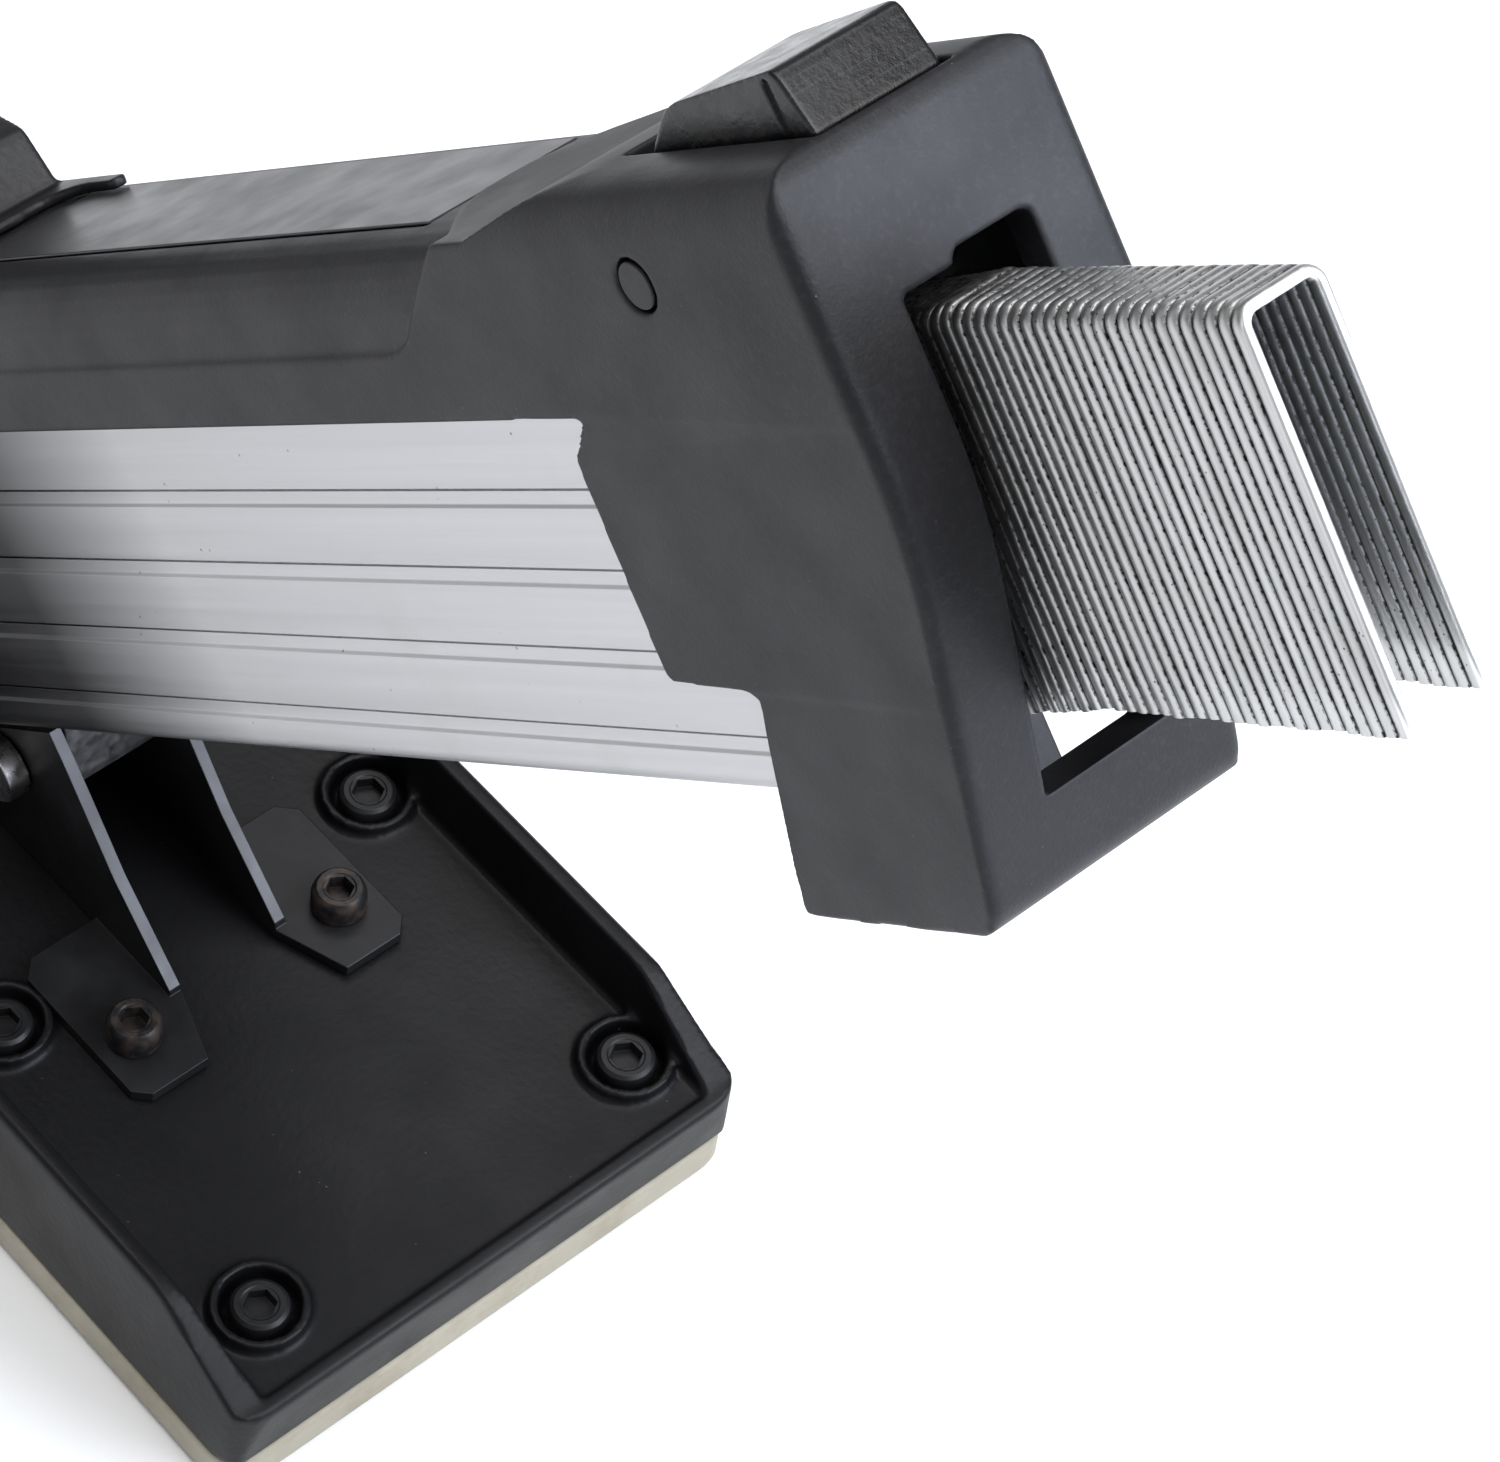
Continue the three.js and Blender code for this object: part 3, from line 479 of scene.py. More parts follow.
def extrusion_material():
    s = Surface("satin_aluminium", roughness=0.36, metallic=1.0)
    along = s.stretched((60, 1, 1), -DRIVE_ANGLE)
    streaks = s.noise(420, 4, 0.6, along)
    base = s.mix(s.remap(streaks, 0.3, 0.7), (0.49, 0.49, 0.50), (0.58, 0.58, 0.59))
    blotch = s.remap(s.noise(34, 5, 0.65), 0.56, 0.74)
    base = s.mix(s.multiply(blotch, 0.35), base, (0.46, 0.455, 0.43))
    pits = s.multiply(s.remap(s.cells(330), 0.09, 0.05), s.remap(s.noise(75, 2), 0.55, 0.62))
    base = s.mix(pits, base, (0.15, 0.14, 0.12))
    # painted shade: the end beside the nose is darkened towards black, standing in for the shadow and dark
    # reflections that fall on it there
    s.colour(s.mix(s.along_magazine(172, 118, 0, 0.93), base, (0.03, 0.03, 0.032)))
    s.rough(s.remap(streaks, 0.3, 0.7, 0.34, 0.46))
    s.bump(streaks, 0.00008, 0.3)
    return s.material


def staple_material():
    s = Surface("galvanised_wire", roughness=0.32, metallic=1.0)
    along = s.stretched((1, 1, 14), -DRIVE_ANGLE)
    grain = s.noise(900, 4, 0.65, along)
    base = s.mix(s.remap(grain, 0.3, 0.7), (0.44, 0.44, 0.437), (0.64, 0.64, 0.64))
    gap = s.attribute("gap")
    beads = s.remap(s.noise(1500, 3, 0.7), 0.49, 0.58)
    glue = s.largest(s.remap(gap, 0.62, 0.84, 0, 0.9), s.multiply(s.remap(gap, 0.42, 0.66), beads))
    stained = s.mix(glue, base, (0.018, 0.018, 0.018))
    haze = s.remap(s.noise(70, 4), 0.45, 0.75)
    stained = s.mix(s.multiply(haze, 0.3), stained, (0.27, 0.27, 0.26))
    specks = s.multiply(s.remap(s.cells(900), 0.14, 0.09), s.remap(s.noise(200, 2), 0.52, 0.6))
    stained = s.mix(specks, stained, (0.05, 0.05, 0.05))
    s.colour(s.mix(s.attribute("clean"), stained, (0.92, 0.92, 0.92)))
    s.rough(s.remap(grain, 0.3, 0.7, 0.28, 0.42))
    s.bump(grain, 0.00006, 0.4)
    return s.material


def metal_material(name, low, high, roughness, turn=0.0, stretch=(1, 1, 1), stain=None):
    s = Surface(name, roughness=roughness, metallic=1.0)
    grain = s.noise(500, 4, 0.6, s.stretched(stretch, turn))
    base = s.mix(s.remap(grain, 0.3, 0.7), low, high)
    if stain:
        base = s.mix(s.multiply(s.remap(s.noise(160, 4), 0.5, 0.7), 0.6), base, stain)
    s.colour(base)
    s.rough(s.remap(grain, 0.3, 0.7, roughness - 0.06, roughness + 0.08))
    s.bump(grain, 0.00005, 0.4)
    return s.material


def black_steel_material(name="black_steel", stain=None):
    """Blackened steel, coloured a lighter grey on the faces whose edge attribute is set to 1."""
    s = Surface(name, roughness=0.38, metallic=0.2, specular=0.3)
    base = s.mix(s.remap(s.noise(70, 4), 0.35, 0.7), (0.008, 0.008, 0.009), (0.015, 0.015, 0.0165))
    if stain:
        base = s.mix(s.remap(s.noise(420, 4), 0.42, 0.62), base, stain)
    s.colour(s.mix(s.attribute("lighter_edge"), base, (0.08, 0.08, 0.086)))
    s.rough(s.remap(s.noise(140, 3), 0.3, 0.7, 0.34, 0.48))
    s.bump(s.noise(700, 3), 0.00010, 0.3)
    return s.material


def sole_material():
    s = Surface("sole_plastic", roughness=0.5, specular=0.3)
    base = s.mix(s.remap(s.noise(26, 5, 0.6), 0.35, 0.7), (0.32, 0.292, 0.23), (0.42, 0.388, 0.315))
    dirt = s.remap(s.noise(60, 5, 0.7), 0.50, 0.72)
    base = s.mix(s.multiply(dirt, 0.6), base, (0.25, 0.21, 0.145))
    s.colour(base)
    s.rough(s.remap(s.noise(200, 3), 0.3, 0.7, 0.42, 0.6))
    s.bump(s.noise(420, 3), 0.00018, 0.35)
    return s.material


def rubber_material(name, low, high, roughness=0.72):
    s = Surface(name, roughness=roughness, specular=0.3)
    s.colour(s.mix(s.remap(s.noise(50, 4), 0.35, 0.7), low, high))
    s.rough(s.remap(s.noise(120, 3), 0.3, 0.7, roughness - 0.08, roughness + 0.08))
    s.bump(s.noise(1400, 3, 0.6), 0.00015, 0.6)
    return s.material


def label_material():
    s = Surface("label_film", roughness=0.34, specular=0.4)
    base = s.mix(s.remap(s.noise(30, 4), 0.35, 0.7), (0.026, 0.026, 0.030), (0.032, 0.032, 0.037))
    s.colour(base)
    s.rough(s.remap(s.noise(90, 3), 0.3, 0.7, 0.3, 0.42))
    s.bump(s.noise(1500, 2), 0.00005, 0.4)
    return s.material


MATERIALS = {
    "black_moulding": moulding_material(),
    "gloss_moulding": gloss_material(),
    "painted_casting": casting_material("painted_casting", (0.010, 0.010, 0.012),
                                        (0.016, 0.016, 0.0185), 0.40, 0.35),
    "shoe_casting": casting_material("shoe_casting", (0.0035, 0.0035, 0.0042),
                                     (0.0065, 0.0065, 0.0076), 0.42, 0.2),
    "satin_aluminium": extrusion_material(),
    "galvanised_wire": staple_material(),
    "light_alloy": metal_material("light_alloy", (0.30, 0.30, 0.31), (0.42, 0.42, 0.43), 0.42),
    "spring_steel": metal_material("spring_steel", (0.25, 0.25, 0.26), (0.40, 0.40, 0.41), 0.32),
    "zinc_steel": metal_material("zinc_steel", (0.40, 0.40, 0.41), (0.56, 0.56, 0.57), 0.3,
                                 stain=(0.25, 0.22, 0.18)),
    "brass": metal_material("brass", (0.48, 0.33, 0.13), (0.62, 0.45, 0.2), 0.26),
    "black_steel": black_steel_material(),
    "sole_plastic": sole_material(),
    "rubber": rubber_material("rubber", (0.010, 0.010, 0.0108), (0.017, 0.017, 0.018)),
    "strike_rubber": rubber_material("strike_rubber", (0.012, 0.012, 0.0125),
                                     (0.022, 0.022, 0.023), 0.6),
    "urethane": rubber_material("urethane", (0.42, 0.24, 0.07), (0.52, 0.31, 0.1), 0.5),
    "label_film": label_material(),
}
RUSTY_BOLT = black_steel_material("rusty_bolt", stain=(0.042, 0.031, 0.025))


# ---------------------------------------------------------------- magazine


def magazine_cover():
    """The long moulding: the rail over the extrusion, and the loading end cap."""
    lower = 56.3
    skirt = 47.1
    recess = 0.8
    side = COVER_HALF
    rail = prism(outline([
        (-side, skirt, 0.4), (side, skirt, 0.4), (side, lower, 0.2), (side - recess, lower + 0.5, 0.2),
        (side - recess, COVER_TOP, 11), (recess - side, COVER_TOP, 11),
        (recess - side, lower + 0.5, 0.2), (-side, lower, 0.2)], 8), 62, 312, "along")
    # the end cap, which stands a little proud of the rail behind a leaning edge
    cap_side = prism(outline([
        (308.3, skirt), (299.6, 41.2, 1.5), (297.8, 10.3, 2), (317.2, 9.6, 3), (314, 2.6, 2),
        (304, -22.7, 2), (348.2, -21.6, 4), (CAP_REAR, 31, 12), (CAP_REAR, CAP_TOP, 3),
        (317, CAP_TOP, 9), (298, PROUD_TOP), (290.5, PROUD_TOP), (285.3, 66.8), (280.3, 63, 4),
        (274.6, 57.6, 2.6), (269, lower + 0.05, 2.6), (262, lower + 0.05), (262, skirt)], 8),
        -side, side, "across")
    soften_rim(cap_side, 347, 2.2)
    # on top the edge curves forward over the shoulders, to the end of the label
    half_brow = [(277.4, 0), (277.6, 4), (280.2, 8.5), (284.6, 13.2), (290.5, 18), (300, 18)]
    brow = [(m, -y) for m, y in reversed(half_brow[1:])] + half_brow
    cap_side = join(cap_side, prism(brow, 60, PROUD_TOP, "upward"))
    around = prism(outline([
        (-side, CAP_BOTTOM, 3), (side, CAP_BOTTOM, 3), (side, CAP_TOP, 8), (-side, CAP_TOP, 8)], 10),
        255, 370, "along")
    cap = within(cap_side, around)
    shell = join(rail, cap)
    # the lower block of the cap is drawn in towards the front, under two slanting creases
    for hand in (-1, 1):
        far = hand * (side + 8)
        flush = hand * side
        drawn = hand * (side - 2.0)
        deeper = hand * (side - 2.7)
        shell = cut(shell, hull([
            (292, flush, 48.2), (366.5, flush, 45.2), (292, drawn, 41.9), (366.5, flush, 44.4),
            (292, drawn, -26), (366.5, flush, -26), (292, far, 48.2), (366.5, far, 45.2),
            (292, far, -26), (366.5, far, -26)]))
        shell = cut(shell, hull([
            (296, drawn, 10.4), (358, hand * (side - 0.2), 9.2), (296, deeper, 8.6),
            (358, hand * (side - 0.3), 8.6), (296, deeper, -26), (358, hand * (side - 0.3), -26),
            (296, far, 10.4), (358, far, 9.2), (296, far, -26), (358, far, -26)]))
    room = MAG_HALF + 0.3
    cavity = prism(outline([
        (290, 56.7), (361, 56.7), (361, 26), (356, 12), (341.5, -14), (341.5, -26), (313, -26),
        (313, -9), (318.5, -6.6), (290, -6.6)]), -room, room, "across")
    slot = prism(outline([
        (-9.5, -8.4), (10.5, -8.4), (10.5, 57.2, 1.5), (-0.8, 57.2), (-1.8, 55.6), (-9.5, 55.6)]),
        335, 375, "along")
    well = prism(outline([
        (324, 50), (343.5, 50), (343.5, 66.8), (364.8, 66.8), (364.8, 90), (324, 90)]),
        -10.3, 10.3, "across")
    return moulded(cut(
        shell,
        block(61, 314, -room, room, 40, 56.7),
        block(61, CHANNEL_REAR, -11, 11, 50, 66.6),
        cavity,
        block(313, 341, 10, 30, -26, -9),
        slot,
        well,
        rod((353, 0, 59), (353, 0, 70), 3.6),
        rod((PIN_M, 1.8 - side, PIN_U), (PIN_M, side - 1.8, PIN_U), PIN_R + 0.3, 48),
        rod((PIN_M, -30, PIN_U), (PIN_M, 30, PIN_U), PIN_END_R + 0.45, 48),
        block(59, 296, 5, 30, 58.4, 63.1),
        prism(box_outline(139.5, -12.4, 277, 12.4, 2), COVER_TOP - 0.8, COVER_TOP + 5, "upward"),
        rod((ARM_BOLT_M, 0, 60), (ARM_BOLT_M, 0, 80), 2.8),
        rod((ARM_BOLT_M, 0, 60), (ARM_BOLT_M, 0, 68.7), 4.7),
    ), 0.42, 3, 196000)


def retainer_lever():
    side = outline([
        (329, 52.6), (333.5, 52.6), (338.5, 56.8, 2), (341.8, 61, 2), (342.2, 69.6, 2),
        (362.4, 71.4, 1), (363.4, 75.5, 0.5), (360.2, 83.6, 1.6), (335.5, 80.8, 3), (328.6, 75, 1),
        (326.6, 60)], 6)
    lever = prism(side, -9.5, 9.5, "across")
    groove = [prism(outline([
        (357.9, 70), (358.8, 70), (358.2, 82.4), (357.3, 82.4)]),
        hand * 8.9 if hand > 0 else -12, 12 if hand > 0 else -8.9, "across") for hand in (-1, 1)]
    lever = cut(lever, rod((PIN_M, -20, PIN_U), (PIN_M, 20, PIN_U), PIN_R + 0.3, 48), *groove)
    return moulded(lever, 0.28, 4, 60000)


def lever_pin():
    """The pin through the cover, turned down to a smaller end that shows on both sides."""
    low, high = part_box("lever_pin")
    half = (high.y - low.y) / MM / 2
    pin = join(rod((PIN_M, 2.2 - half, PIN_U), (PIN_M, half - 2.2, PIN_U), PIN_R, 48),
               rod((PIN_M, -half, PIN_U), (PIN_M, half, PIN_U), PIN_END_R, 48))
    return bevelled(pin, 0.3, 2, 40)


def magazine_extrusion():
    """The light-alloy section, with its shallow recessed bands along both sides."""
    inner = MAG_HALF - 3.5
    band, depth = 2.8, 0.5
    levels = (1.9, 13.3, 24.6, 35.8)

    def banded(hand):
        points = []
        for level in levels:
            points += [(hand * MAG_HALF, level - band, 0.12),
                       (hand * (MAG_HALF - depth), level - band + 0.4, 0.12),
                       (hand * (MAG_HALF - depth), level - 0.55),
                       (hand * (MAG_HALF - depth - 0.5), level - 0.45),
                       (hand * (MAG_HALF - depth - 0.5), level), (hand * MAG_HALF, level, 0.1)]
        return points

    section = outline([
        (-MAG_HALF, -6.3, 2.4), (MAG_HALF, -6.3, 2.4), *banded(1),
        (MAG_HALF, 56.4), (inner, 56.4), (inner, -1), (-inner, -1), (-inner, 56.4), (-MAG_HALF, 56.4),
        *reversed(banded(-1))], 4)
    piece = prism(section, 35, 330, "along")
    return bevelled(piece, 0.15, 2, 40)


def staple_line(crown, leg, wire, corner):
    """The middle of one staple's wire, in (across, up), from one point to the other."""
    half = crown / 2 - wire / 2
    top = leg - wire / 2
    line = [Vector((-half, (top - corner) * k / 8)) for k in range(8)]
    for side in (-1, 1):
        for k in range(7):
            turn = math.pi / 12 * (k if side < 0 else 6 - k)
            line.append(Vector((side * (half - corner + corner * math.cos(turn)),
                                top - corner + corner * math.sin(turn))))
    return line + [Vector((half, (top - corner) * k / 8)) for k in range(7, -1, -1)]


def sag(m):
    """How far the stick lies above its straight line: most at the slot, none at either end."""
    leaving = max(0.0, min(1.0, (m - 343.0) / (CAP_REAR - 343.0)))
    beyond = max(0.0, m - CAP_REAR) / (STRIP_REAR - CAP_REAR)
    return 1.6 * leaving * (1 - beyond)


def staple_strip():
    """Fifty glued staples, each one a bent wire; the stick lies highest at the slot."""
    pitch, crown, leg, wire = 2.16, 12.7, 50.8, 1.6
    line = staple_line(crown, leg, wire, 1.9)
    # the wire's section: (along the stick, outward, how near the joint with its neighbour)
    width = pitch / 2 - 0.02
    side = [(width, -0.42, 1.0), (width, 0.42, 1.0), (0.84, 0.64, 0.62), (0.45, 0.77, 0.15)]
    outer = side[1:] + [(0.0, 0.8, 0.0)]
    outer += [(-along, out, near) for along, out, near in reversed(side[1:])]
    section = outer + [(along, -out, near) for along, out, near in reversed(outer)]
    squarer = [(min(along, 0.8) if abs(out) > 0.7 else along, out, near) for along, out, near in section]
    rng = random.Random(7)
    bm = bmesh.new()
    gap = bm.verts.layers.float.new("gap")
    clean = bm.verts.layers.float.new("clean")
    for index in range(50):
        middle = STRIP_REAR - pitch * (index + 0.5)
        shift_y = rng.uniform(-0.06, 0.06)
        shift_u = rng.uniform(-0.07, 0.06)
        short = rng.uniform(0.0, 0.3)
        rings = []
        for i, p in enumerate(line):
            ahead = line[min(i + 1, len(line) - 1)] - line[max(i - 1, 0)]
            outward = Vector((-ahead.y, ahead.x)).normalized()
            low = short if i in (0, len(line) - 1) else 0.0
            ring = []
            for along, out, near in (squarer if index == 0 else section):
                spot = p + outward * out
                m = middle + along
                v = bm.verts.new((m, spot.x + shift_y, spot.y + sag(m) + shift_u + low))
                # the rearmost face was broken off the rest of its stick, and is clean
                fresh = index == 0 and along > 0.7
                v[gap] = 0.0 if fresh else near
                v[clean] = 1.0 if fresh else 0.0
                ring.append(v)
            rings.append(ring)
        size = len(section)
        for first, second in zip(rings, rings[1:]):
            for k in range(size):
                bm.faces.new((first[k], first[(k + 1) % size], second[(k + 1) % size], second[k]))
        bm.faces.new(rings[0])
        bm.faces.new(rings[-1])
    piece = solid_of(bm)
    piece.data.shade_smooth()
    edge = piece.modifiers.new("edge", "BEVEL")
    edge.width = 0.1
    edge.segments = 1
    edge.limit_method = "ANGLE"
    edge.angle_limit = math.radians(60)
    return evaluated(piece)


keep(magazine_cover(), "cover_moulding", "magazine_cover", MATERIALS["black_moulding"], DRIVING)
keep(retainer_lever(), "lever_moulding", "retainer_lever", MATERIALS["gloss_moulding"], DRIVING)
keep(lever_pin(), "lever_pin_turned", "lever_pin", MATERIALS[slot_of["lever_pin"]], DRIVING)
keep(magazine_extrusion(), "magazine_body", "magazine_extrusion", MATERIALS["satin_aluminium"], DRIVING)
keep(staple_strip(), "staple_stick", "staple_strip", MATERIALS["galvanised_wire"], DRIVING)


# ---------------------------------------------------------------- shoe

# The shoe stands a little left of the magazine's middle plane; its screws don't.
SHOE_Y = -2.0
SHOE_SCREWS = ((22, 38), (90.5, 37), (155.5, 37))
FOOT_BOLT = (105.5, 20.6)
DECK = 21.0
RIM = 33.0
SHOE_FLOOR = 7.3


def shoe_outline(half, rear, front=-14.0):
    low, high = SHOE_Y - half, SHOE_Y + half
    return outline([(front, low, 4), (rear, low, 7), (rear, high, 7), (front, high, 4)], 10)


def base_plate():
    """The shoe casting: a deck inside a leaning wall, with bosses round its screws."""
    half, rear, front = 51.4, 171.0, -14.0
    side = prism(outline([
        (front - 1, SHOE_FLOOR), (169.4, SHOE_FLOOR), (rear, 20), (rear, DECK + 0.6, 0.8),
        (169, DECK + 0.8, 0.8), (149, RIM, 3), (16, RIM, 8), (front - 1, 24)], 8), -60, 60, "across")
    leaning = prism(outline([
        (SHOE_Y - half, SHOE_FLOOR), (SHOE_Y + half, SHOE_FLOOR), (SHOE_Y + 49.8, RIM, 1.2),
        (SHOE_Y - 49.8, RIM, 1.2)]), front - 2, rear + 2, "along")
    body = within(prism(shoe_outline(half, rear), SHOE_FLOOR, RIM, "upward"), side, leaning)
    # the wall's inner face leans in as well, so the deck is narrower than the rim
    inside = hull([(x, SHOE_Y + hand * room, z)
                   for z, room, lip in ((DECK, 44.6, 2.4), (50, 49.4, 0.8))
                   for x in (front - 30, rear - lip) for hand in (-1, 1)])
    body = cut(body, inside)
    bosses = []
    for x, y in SHOE_SCREWS:
        for hand in (-1, 1):
            bosses.append(rod((x, hand * y, 14), (x, hand * y, 23.0), 8.8, 48, 7.9))
    pads = [prism(box_outline(20, SHOE_Y - 46, 80, SHOE_Y + 46, 3), 12, DECK, "upward")]
    ears = [prism(outline([(4, 12), (44, 12), (38, 30, 4), (20, 40, 8), (4, 38, 5)]),
                  min(hand * 18.2, hand * 24.5), max(hand * 18.2, hand * 24.5), "across")
            for hand in (-1, 1)]
    body = join(body, *bosses, *pads, *ears)
    holes = [block(-40, 57, -17.8, 17.8, 0, 60)]
    for x, y in SHOE_SCREWS:
        for hand in (-1, 1):
            holes.append(rod((x, hand * y, 18.8), (x, hand * y, 30), 6.3, 40, 6.9))
    holes += [rod((11, hand * 30, 30), (11, hand * 10, 30), 3) for hand in (-1, 1)]
    return moulded(cut(body, *holes), 0.62, 3, 170000)


def wear_plate():
    plate = prism(shoe_outline(51.8, 169.8), 0, 7, "upward")
    return bevelled(cut(plate, block(-40, 44, -17.8, 17.8, -5, 10)), 0.9, 3)


def socket_screw(centre, head, height, socket):
    """A screw head with a hexagon socket, its crown rounded; z is up. It has no shank."""
    x, y, z = centre
    shape = [(0, 0), (head, 0), (head, height * 0.62), (head * 0.93, height * 0.86),
             (head * 0.8, height), (socket * 1.16, height), (socket * 1.08, height * 0.95)]
    top = lathe([(r, z + h) for r, h in shape] + [(0, z + height * 0.95)], 40)
    top.data.transform(Matrix.Translation((x, y, 0)))
    pit = prism(circle(socket, 6, (x, y)), z + height * 0.35, z + height + 2, "upward")
    return bevelled(cut(top, pit), 0.12, 2)


keep(base_plate(), "shoe_body", "base_plate", MATERIALS["shoe_casting"], LEVEL)
keep(wear_plate(), "sole_plate", "wear_plate", MATERIALS["sole_plastic"], LEVEL)
for i, (x, y) in enumerate([(x, hand * y) for x, y in SHOE_SCREWS for hand in (-1, 1)]):
    keep(socket_screw((x, y, 19.3), 5.0, 3.6, 2.7), f"shoe_screw_{i + 1}", f"base_screw_{i + 1}",
         MATERIALS["black_steel"], LEVEL)
for i, hand in enumerate((-1, 1)):
    bolt = socket_screw((FOOT_BOLT[0], SHOE_Y + hand * FOOT_BOLT[1], 23.8), 4.6, 4.6, 2.4)
    keep(bolt, f"foot_screw_{i + 1}", f"foot_bolt_{i + 1}", RUSTY_BOLT, LEVEL)


# ---------------------------------------------------------------- body, head and handle

HANDLE_U = 190.0
HANDLE_HALF, HANDLE_RISE = 17.0, 21.0
HANDLE_REAR = 322.0
HANDLE_WALL = 4.0
CYL_BORE_R = 31.5
FLANGE_HOLE_R = 2.7
CROSS_BOLT = (112, 159)
CROSS_HOLE_R = 4.3
CYL_TOP = 240.0
FLANGE_BOLTS = [(37.6 * math.cos(math.radians(a)), 37.6 * math.sin(math.radians(a)))
                for a in (45, 135, 225, 315)]


def handle_tube(half, rise, start, end):
    return prism(ellipse(half, rise, (0, HANDLE_U), 72), start, end, "along")


def body_casting():
    """The finned barrel with the hollow handle, its throat and the lug that holds the arm."""
    profile = [(0, 99), (30, 99), (36, 104), (38, 113)]
    for fin in (122, 138, 154):
        profile += [(38, fin), (39.4, fin + 1), (39.4, fin + 3), (38, fin + 4)]
    profile += [(38, 226), (43, 231), (43, CYL_TOP), (0, CYL_TOP)]
    throat = prism(outline([(14, 158), (14, 224), (44, 224, 8), (92, 206, 12), (92, 174, 12),
                            (52, 158, 10)], 8), -13.07, 13.07, "across")
    lug = prism(outline([(98, 180.3), (98, 150, 8), (126, 150, 8), (126, 180.3)], 8), -5.2, 5.2, "across")
    whole = lathe(profile, 96)
    for piece in (throat, handle_tube(HANDLE_HALF, HANDLE_RISE, 22.3, HANDLE_REAR), lug):
        whole = join(whole, piece)
    return moulded(cut(
        whole,
        rod((0, 0, 106), (0, 0, CYL_TOP + 1), CYL_BORE_R, 96),
        block(-2.6, 2.6, -7.4, 7.4, 90, 110),
        handle_tube(HANDLE_HALF - HANDLE_WALL, HANDLE_RISE - HANDLE_WALL, 10, HANDLE_REAR + 1),
        rod((CROSS_BOLT[0], -10, CROSS_BOLT[1]), (CROSS_BOLT[0], 10, CROSS_BOLT[1]), CROSS_HOLE_R, 32),
        *[rod((m, y, 222), (m, y, CYL_TOP + 1), FLANGE_HOLE_R) for m, y in FLANGE_BOLTS],
    ), 0.85, 3, 190000)


def cylinder_head():
    low = CYL_TOP + 1.6
    profile = [(0, low + 5), (20, low + 5), (20, low), (43, low), (43, 254), (40, 257), (25, 257),
               (24, 276), (10, 276), (10, 262), (0, 262)]
    rim = [rod((m, y, 250), (m, y, 257.2), 7.0, 40, 6.4) for m, y in FLANGE_BOLTS]
    return moulded(cut(
        join(lathe(profile, 96), *rim),
        rod((0, 0, 240), (0, 0, 280), 6.4, 40),
        *[rod((m, y, 230), (m, y, 270), FLANGE_HOLE_R) for m, y in FLANGE_BOLTS],
    ), 0.6, 3, 150000)


def strike_cap():
    """The rubber cap that the mallet strikes, with three grooves round its skirt."""
    profile = [(0, 306), (27.4, 306), (28, 305.4), (28, 273.6), (28.6, 273), (32, 273), (32.5, 273.6)]
    for groove in (280, 286, 292):
        radius = 32.5 + (groove - 273) / 37
        profile += [(radius, groove), (radius - 0.9, groove + 0.7), (radius - 0.9, groove + 1.9),
                    (radius, groove + 2.6)]
    profile += [(33.5, 310), (33.2, 315), (32.2, 319), (30, 322.4), (27, 325.4), (23, 327), (0, 327)]
    return bevelled(lathe(profile, 128), 0.25, 2, 25)


def handle_grip():
    """A rubber sleeve with rounded ends and shallow rings for the hand."""
    start, end, pitch = 172.0, 306.0, 5.2
    steps, count = 268, 96
    bm = bmesh.new()
    rings = []
    for i in range(steps + 1):
        m = start + (end - start) * i / steps
        from_end = min(m - start, end - m)
        groove = 0.75 * max(0.0, math.cos(2 * math.pi * (m - start) / pitch)) ** 4 if from_end > 7 else 0.0
        swell = 3.0 - groove - 1.2 * max(0.0, 1 - from_end / 1.6) ** 2
        rings.append([bm.verts.new((m, p.x, p.y)) for p in
                      ellipse(HANDLE_HALF + swell, HANDLE_RISE + swell, (0, HANDLE_U), count)])
    for m in (end, start):
        rings.append([bm.verts.new((m, p.x, p.y)) for p in
                      ellipse(HANDLE_HALF + 0.3, HANDLE_RISE + 0.3, (0, HANDLE_U), count)])
    for k, ring in enumerate(rings):
        other = rings[(k + 1) % len(rings)]
        for i in range(count):
            j = (i + 1) % count
            bm.faces.new((ring[i], ring[j], other[j], other[i]))
    piece = solid_of(bm)
    piece.data.shade_smooth()
    return piece


def magazine_arm():
    """The casting between the handle and the magazine: a foot on the cover and a curved post."""
    low, top = COVER_TOP + 0.3, 72.2
    foot = prism(outline([
        (96, -12.5, 2), (137, -12.5, 8), (135.5, 6, 3), (140, 9.5, 3), (150, 9.5, 1.2), (150, 12.5, 1.2),
        (96, 12.5, 2)], 10), low, top, "upward")
    post = prism(outline([
        (98, low), (131, low), (127.5, 81.4, 1.5), (117, 86, 5), (121, 104, 12), (126, 130, 10),
        (126, 168, 6), (98, 168, 6), (97, 120, 20), (98, 84)], 10), -11, 11, "across")
    return moulded(cut(
        join(foot, post),
        block(90, 140, -5.6, 5.6, 140, 175),
        rod((CROSS_BOLT[0], -20, CROSS_BOLT[1]), (CROSS_BOLT[0], 20, CROSS_BOLT[1]), CROSS_HOLE_R),
        rod((ARM_BOLT_M, 0, 60), (ARM_BOLT_M, 0, 81), 2.8),
    ), 0.45, 3, 150000)


def pusher_knob():
    """The thumb knob, ridged across on its outer face."""
    knob = prism(box_outline(57, 48, 80, 63.4, 5), 24.3, 35, "across")
    ridges = [rod((m, 35.3, 45), (m, 35.3, 66), 0.8, 24) for m in range(61, 78, 3)]
    return moulded(cut(knob, *ridges), 0.35, 2, 60000)


FINISHED = {
    "body_casting": body_casting, "cylinder_head": cylinder_head, "strike_cap": strike_cap,
    "handle_grip": handle_grip, "magazine_arm": magazine_arm, "pusher_knob": pusher_knob,
}
for node, make in FINISHED.items():
    keep(make(), node + "_finished", node, MATERIALS[slot_of[node]], DRIVING)


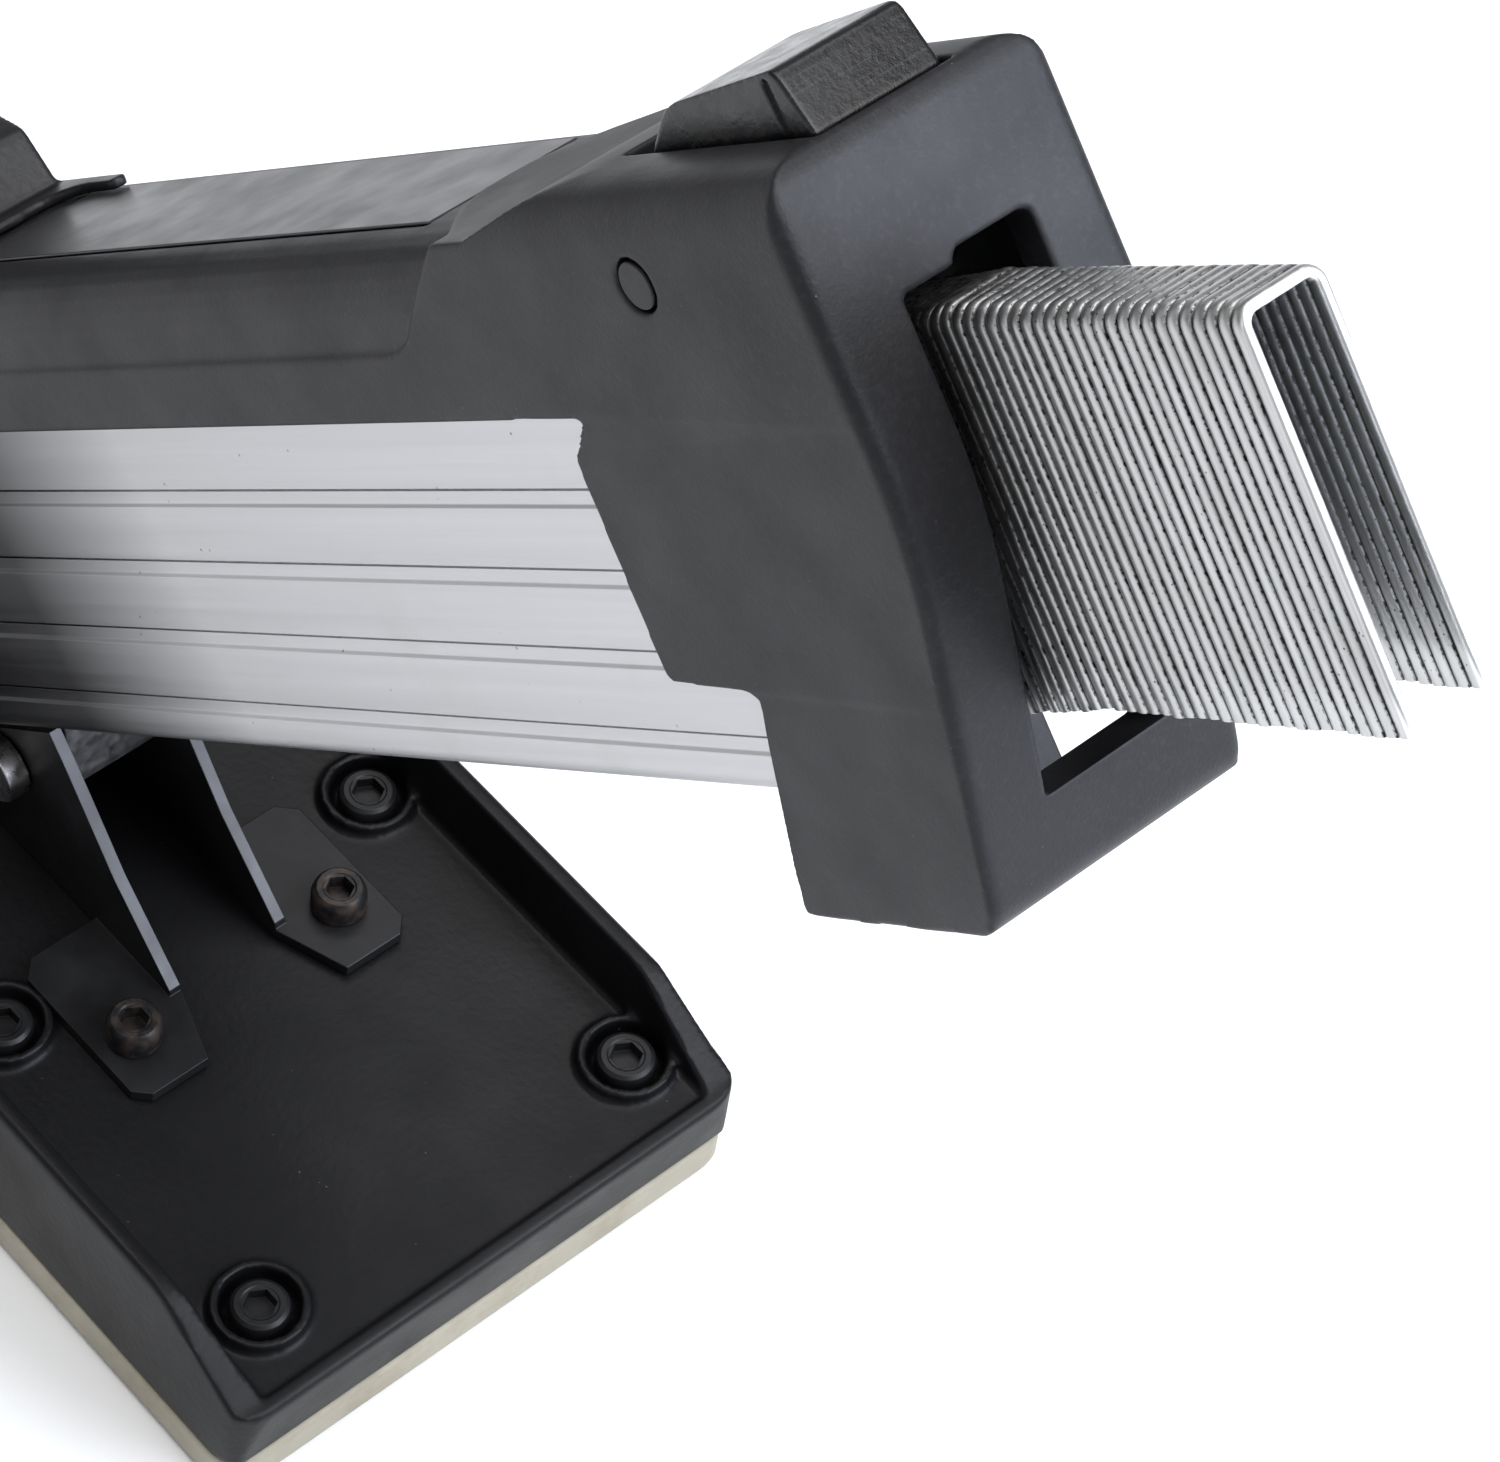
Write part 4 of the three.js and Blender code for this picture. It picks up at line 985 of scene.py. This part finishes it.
# ---------------------------------------------------------------- pieces on their CAD outlines

def support_bracket(node):
    """A bent plate, blackened but for its rear edge faces above the feet, which are coloured a lighter
    grey.
    """
    piece = bevelled(tidy_copy(node, LEVEL), 0.45, 3)
    lighter_edge = piece.data.attributes.new("lighter_edge", "FLOAT", "FACE")
    for face in piece.data.polygons:
        rear_edge = face.normal.x > 0.35 and abs(face.normal.y) < 0.5 and face.center.z > 27
        lighter_edge.data[face.index].value = 1.0 if rear_edge else 0.0
    return piece


for side in ("left", "right"):
    node = "support_bracket_" + side
    keep(support_bracket(node), node + "_plate", node, MATERIALS["black_steel"], LEVEL)

BEVELS = {
    "hanger_bolt": (LEVEL, 0.35), "nose_side_bolt_1": (LEVEL, 0.3), "nose_side_bolt_2": (LEVEL, 0.3),
}


def rounded_copies():
    """Every other visible CAD node, with its edges rounded off."""
    done = {n for o in bpy.context.scene.objects for n in o.get("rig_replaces", [])}
    for node in sorted(frame["nodes"]):
        if node in done:
            continue
        matrix, width = BEVELS.get(node, (DRIVING, 0.35))
        piece = bevelled(tidy_copy(node, matrix), width, 2, 32)
        keep(piece, node + "_finished", node, MATERIALS[slot_of[node]], matrix)


rounded_copies()

# ---------------------------------------------------------------- studio


def studio_floor():
    mesh = bpy.data.meshes.new("floor")
    size = 4.0
    mesh.from_pydata([(-size, -size, 0), (size, -size, 0), (size, size, 0), (-size, size, 0)],
                     [], [(0, 1, 2, 3)])
    floor = new_object("floor", mesh)
    floor.location.z = -0.0005
    s = Surface("floor_paper", roughness=0.9, specular=0.1)
    s.colour(s.mix(s.remap(s.noise(3, 2), 0.3, 0.7), (0.90, 0.90, 0.90), (0.93, 0.93, 0.93)))
    mesh.materials.append(s.material)


def area_light(name, place, target, size, power, colour=(1, 1, 1)):
    data = bpy.data.lights.new(name, "AREA")
    data.shape = "RECTANGLE"
    data.size, data.size_y = size
    data.energy = power
    data.color = colour
    lamp = bpy.data.objects.new(name, data)
    lamp.location = place
    lamp.rotation_euler = (Vector(target) - Vector(place)).to_track_quat("-Z", "Y").to_euler()
    bpy.context.scene.collection.objects.link(lamp)


def studio_lights():
    world = bpy.data.worlds.new("studio")
    world.use_nodes = True
    sky = world.node_tree.nodes["Background"]
    sky.inputs["Color"].default_value = (0.93, 0.96, 1.0, 1)
    sky.inputs["Strength"].default_value = 0.32
    bpy.context.scene.world = world
    area_light("key", (0.9, 0.3, 1.6), (0.05, 0, 0.15), (1.2, 1.2), 21)
    area_light("top", (-0.4, 0.2, 1.9), (0, 0, 0.1), (1.6, 1.6), 24)
    area_light("rear", (1.25, 0.62, 0.75), (0.2, 0, 0.28), (0.9, 0.7), 19, (0.8, 0.87, 1.0))
    area_light("side", (0.1, -1.6, 0.9), (0, 0, 0.2), (1.0, 1.0), 2)


CAMERA_ROLL = 9.94


def photo_camera():
    """The photograph's viewpoint, aim and roll, measured from the staple exit."""
    place = LEVEL @ Vector((475.8, -320.7, 750.6))
    aim = LEVEL @ Vector((256.7, -65.0, 303.2))
    data = bpy.data.cameras.new("camera")
    data.lens = 131.4
    data.sensor_width = 36.0
    data.clip_start = 0.01
    camera = bpy.data.objects.new("camera", data)
    level = (aim - place).to_track_quat("-Z", "Y").to_matrix().to_4x4()
    roll = Matrix.Rotation(math.radians(CAMERA_ROLL), 4, "Z")
    camera.matrix_world = Matrix.Translation(place) @ level @ roll
    bpy.context.scene.collection.objects.link(camera)
    bpy.context.scene.camera = camera


studio_floor()
studio_lights()
photo_camera()
bpy.context.scene.view_settings.view_transform = "Standard"
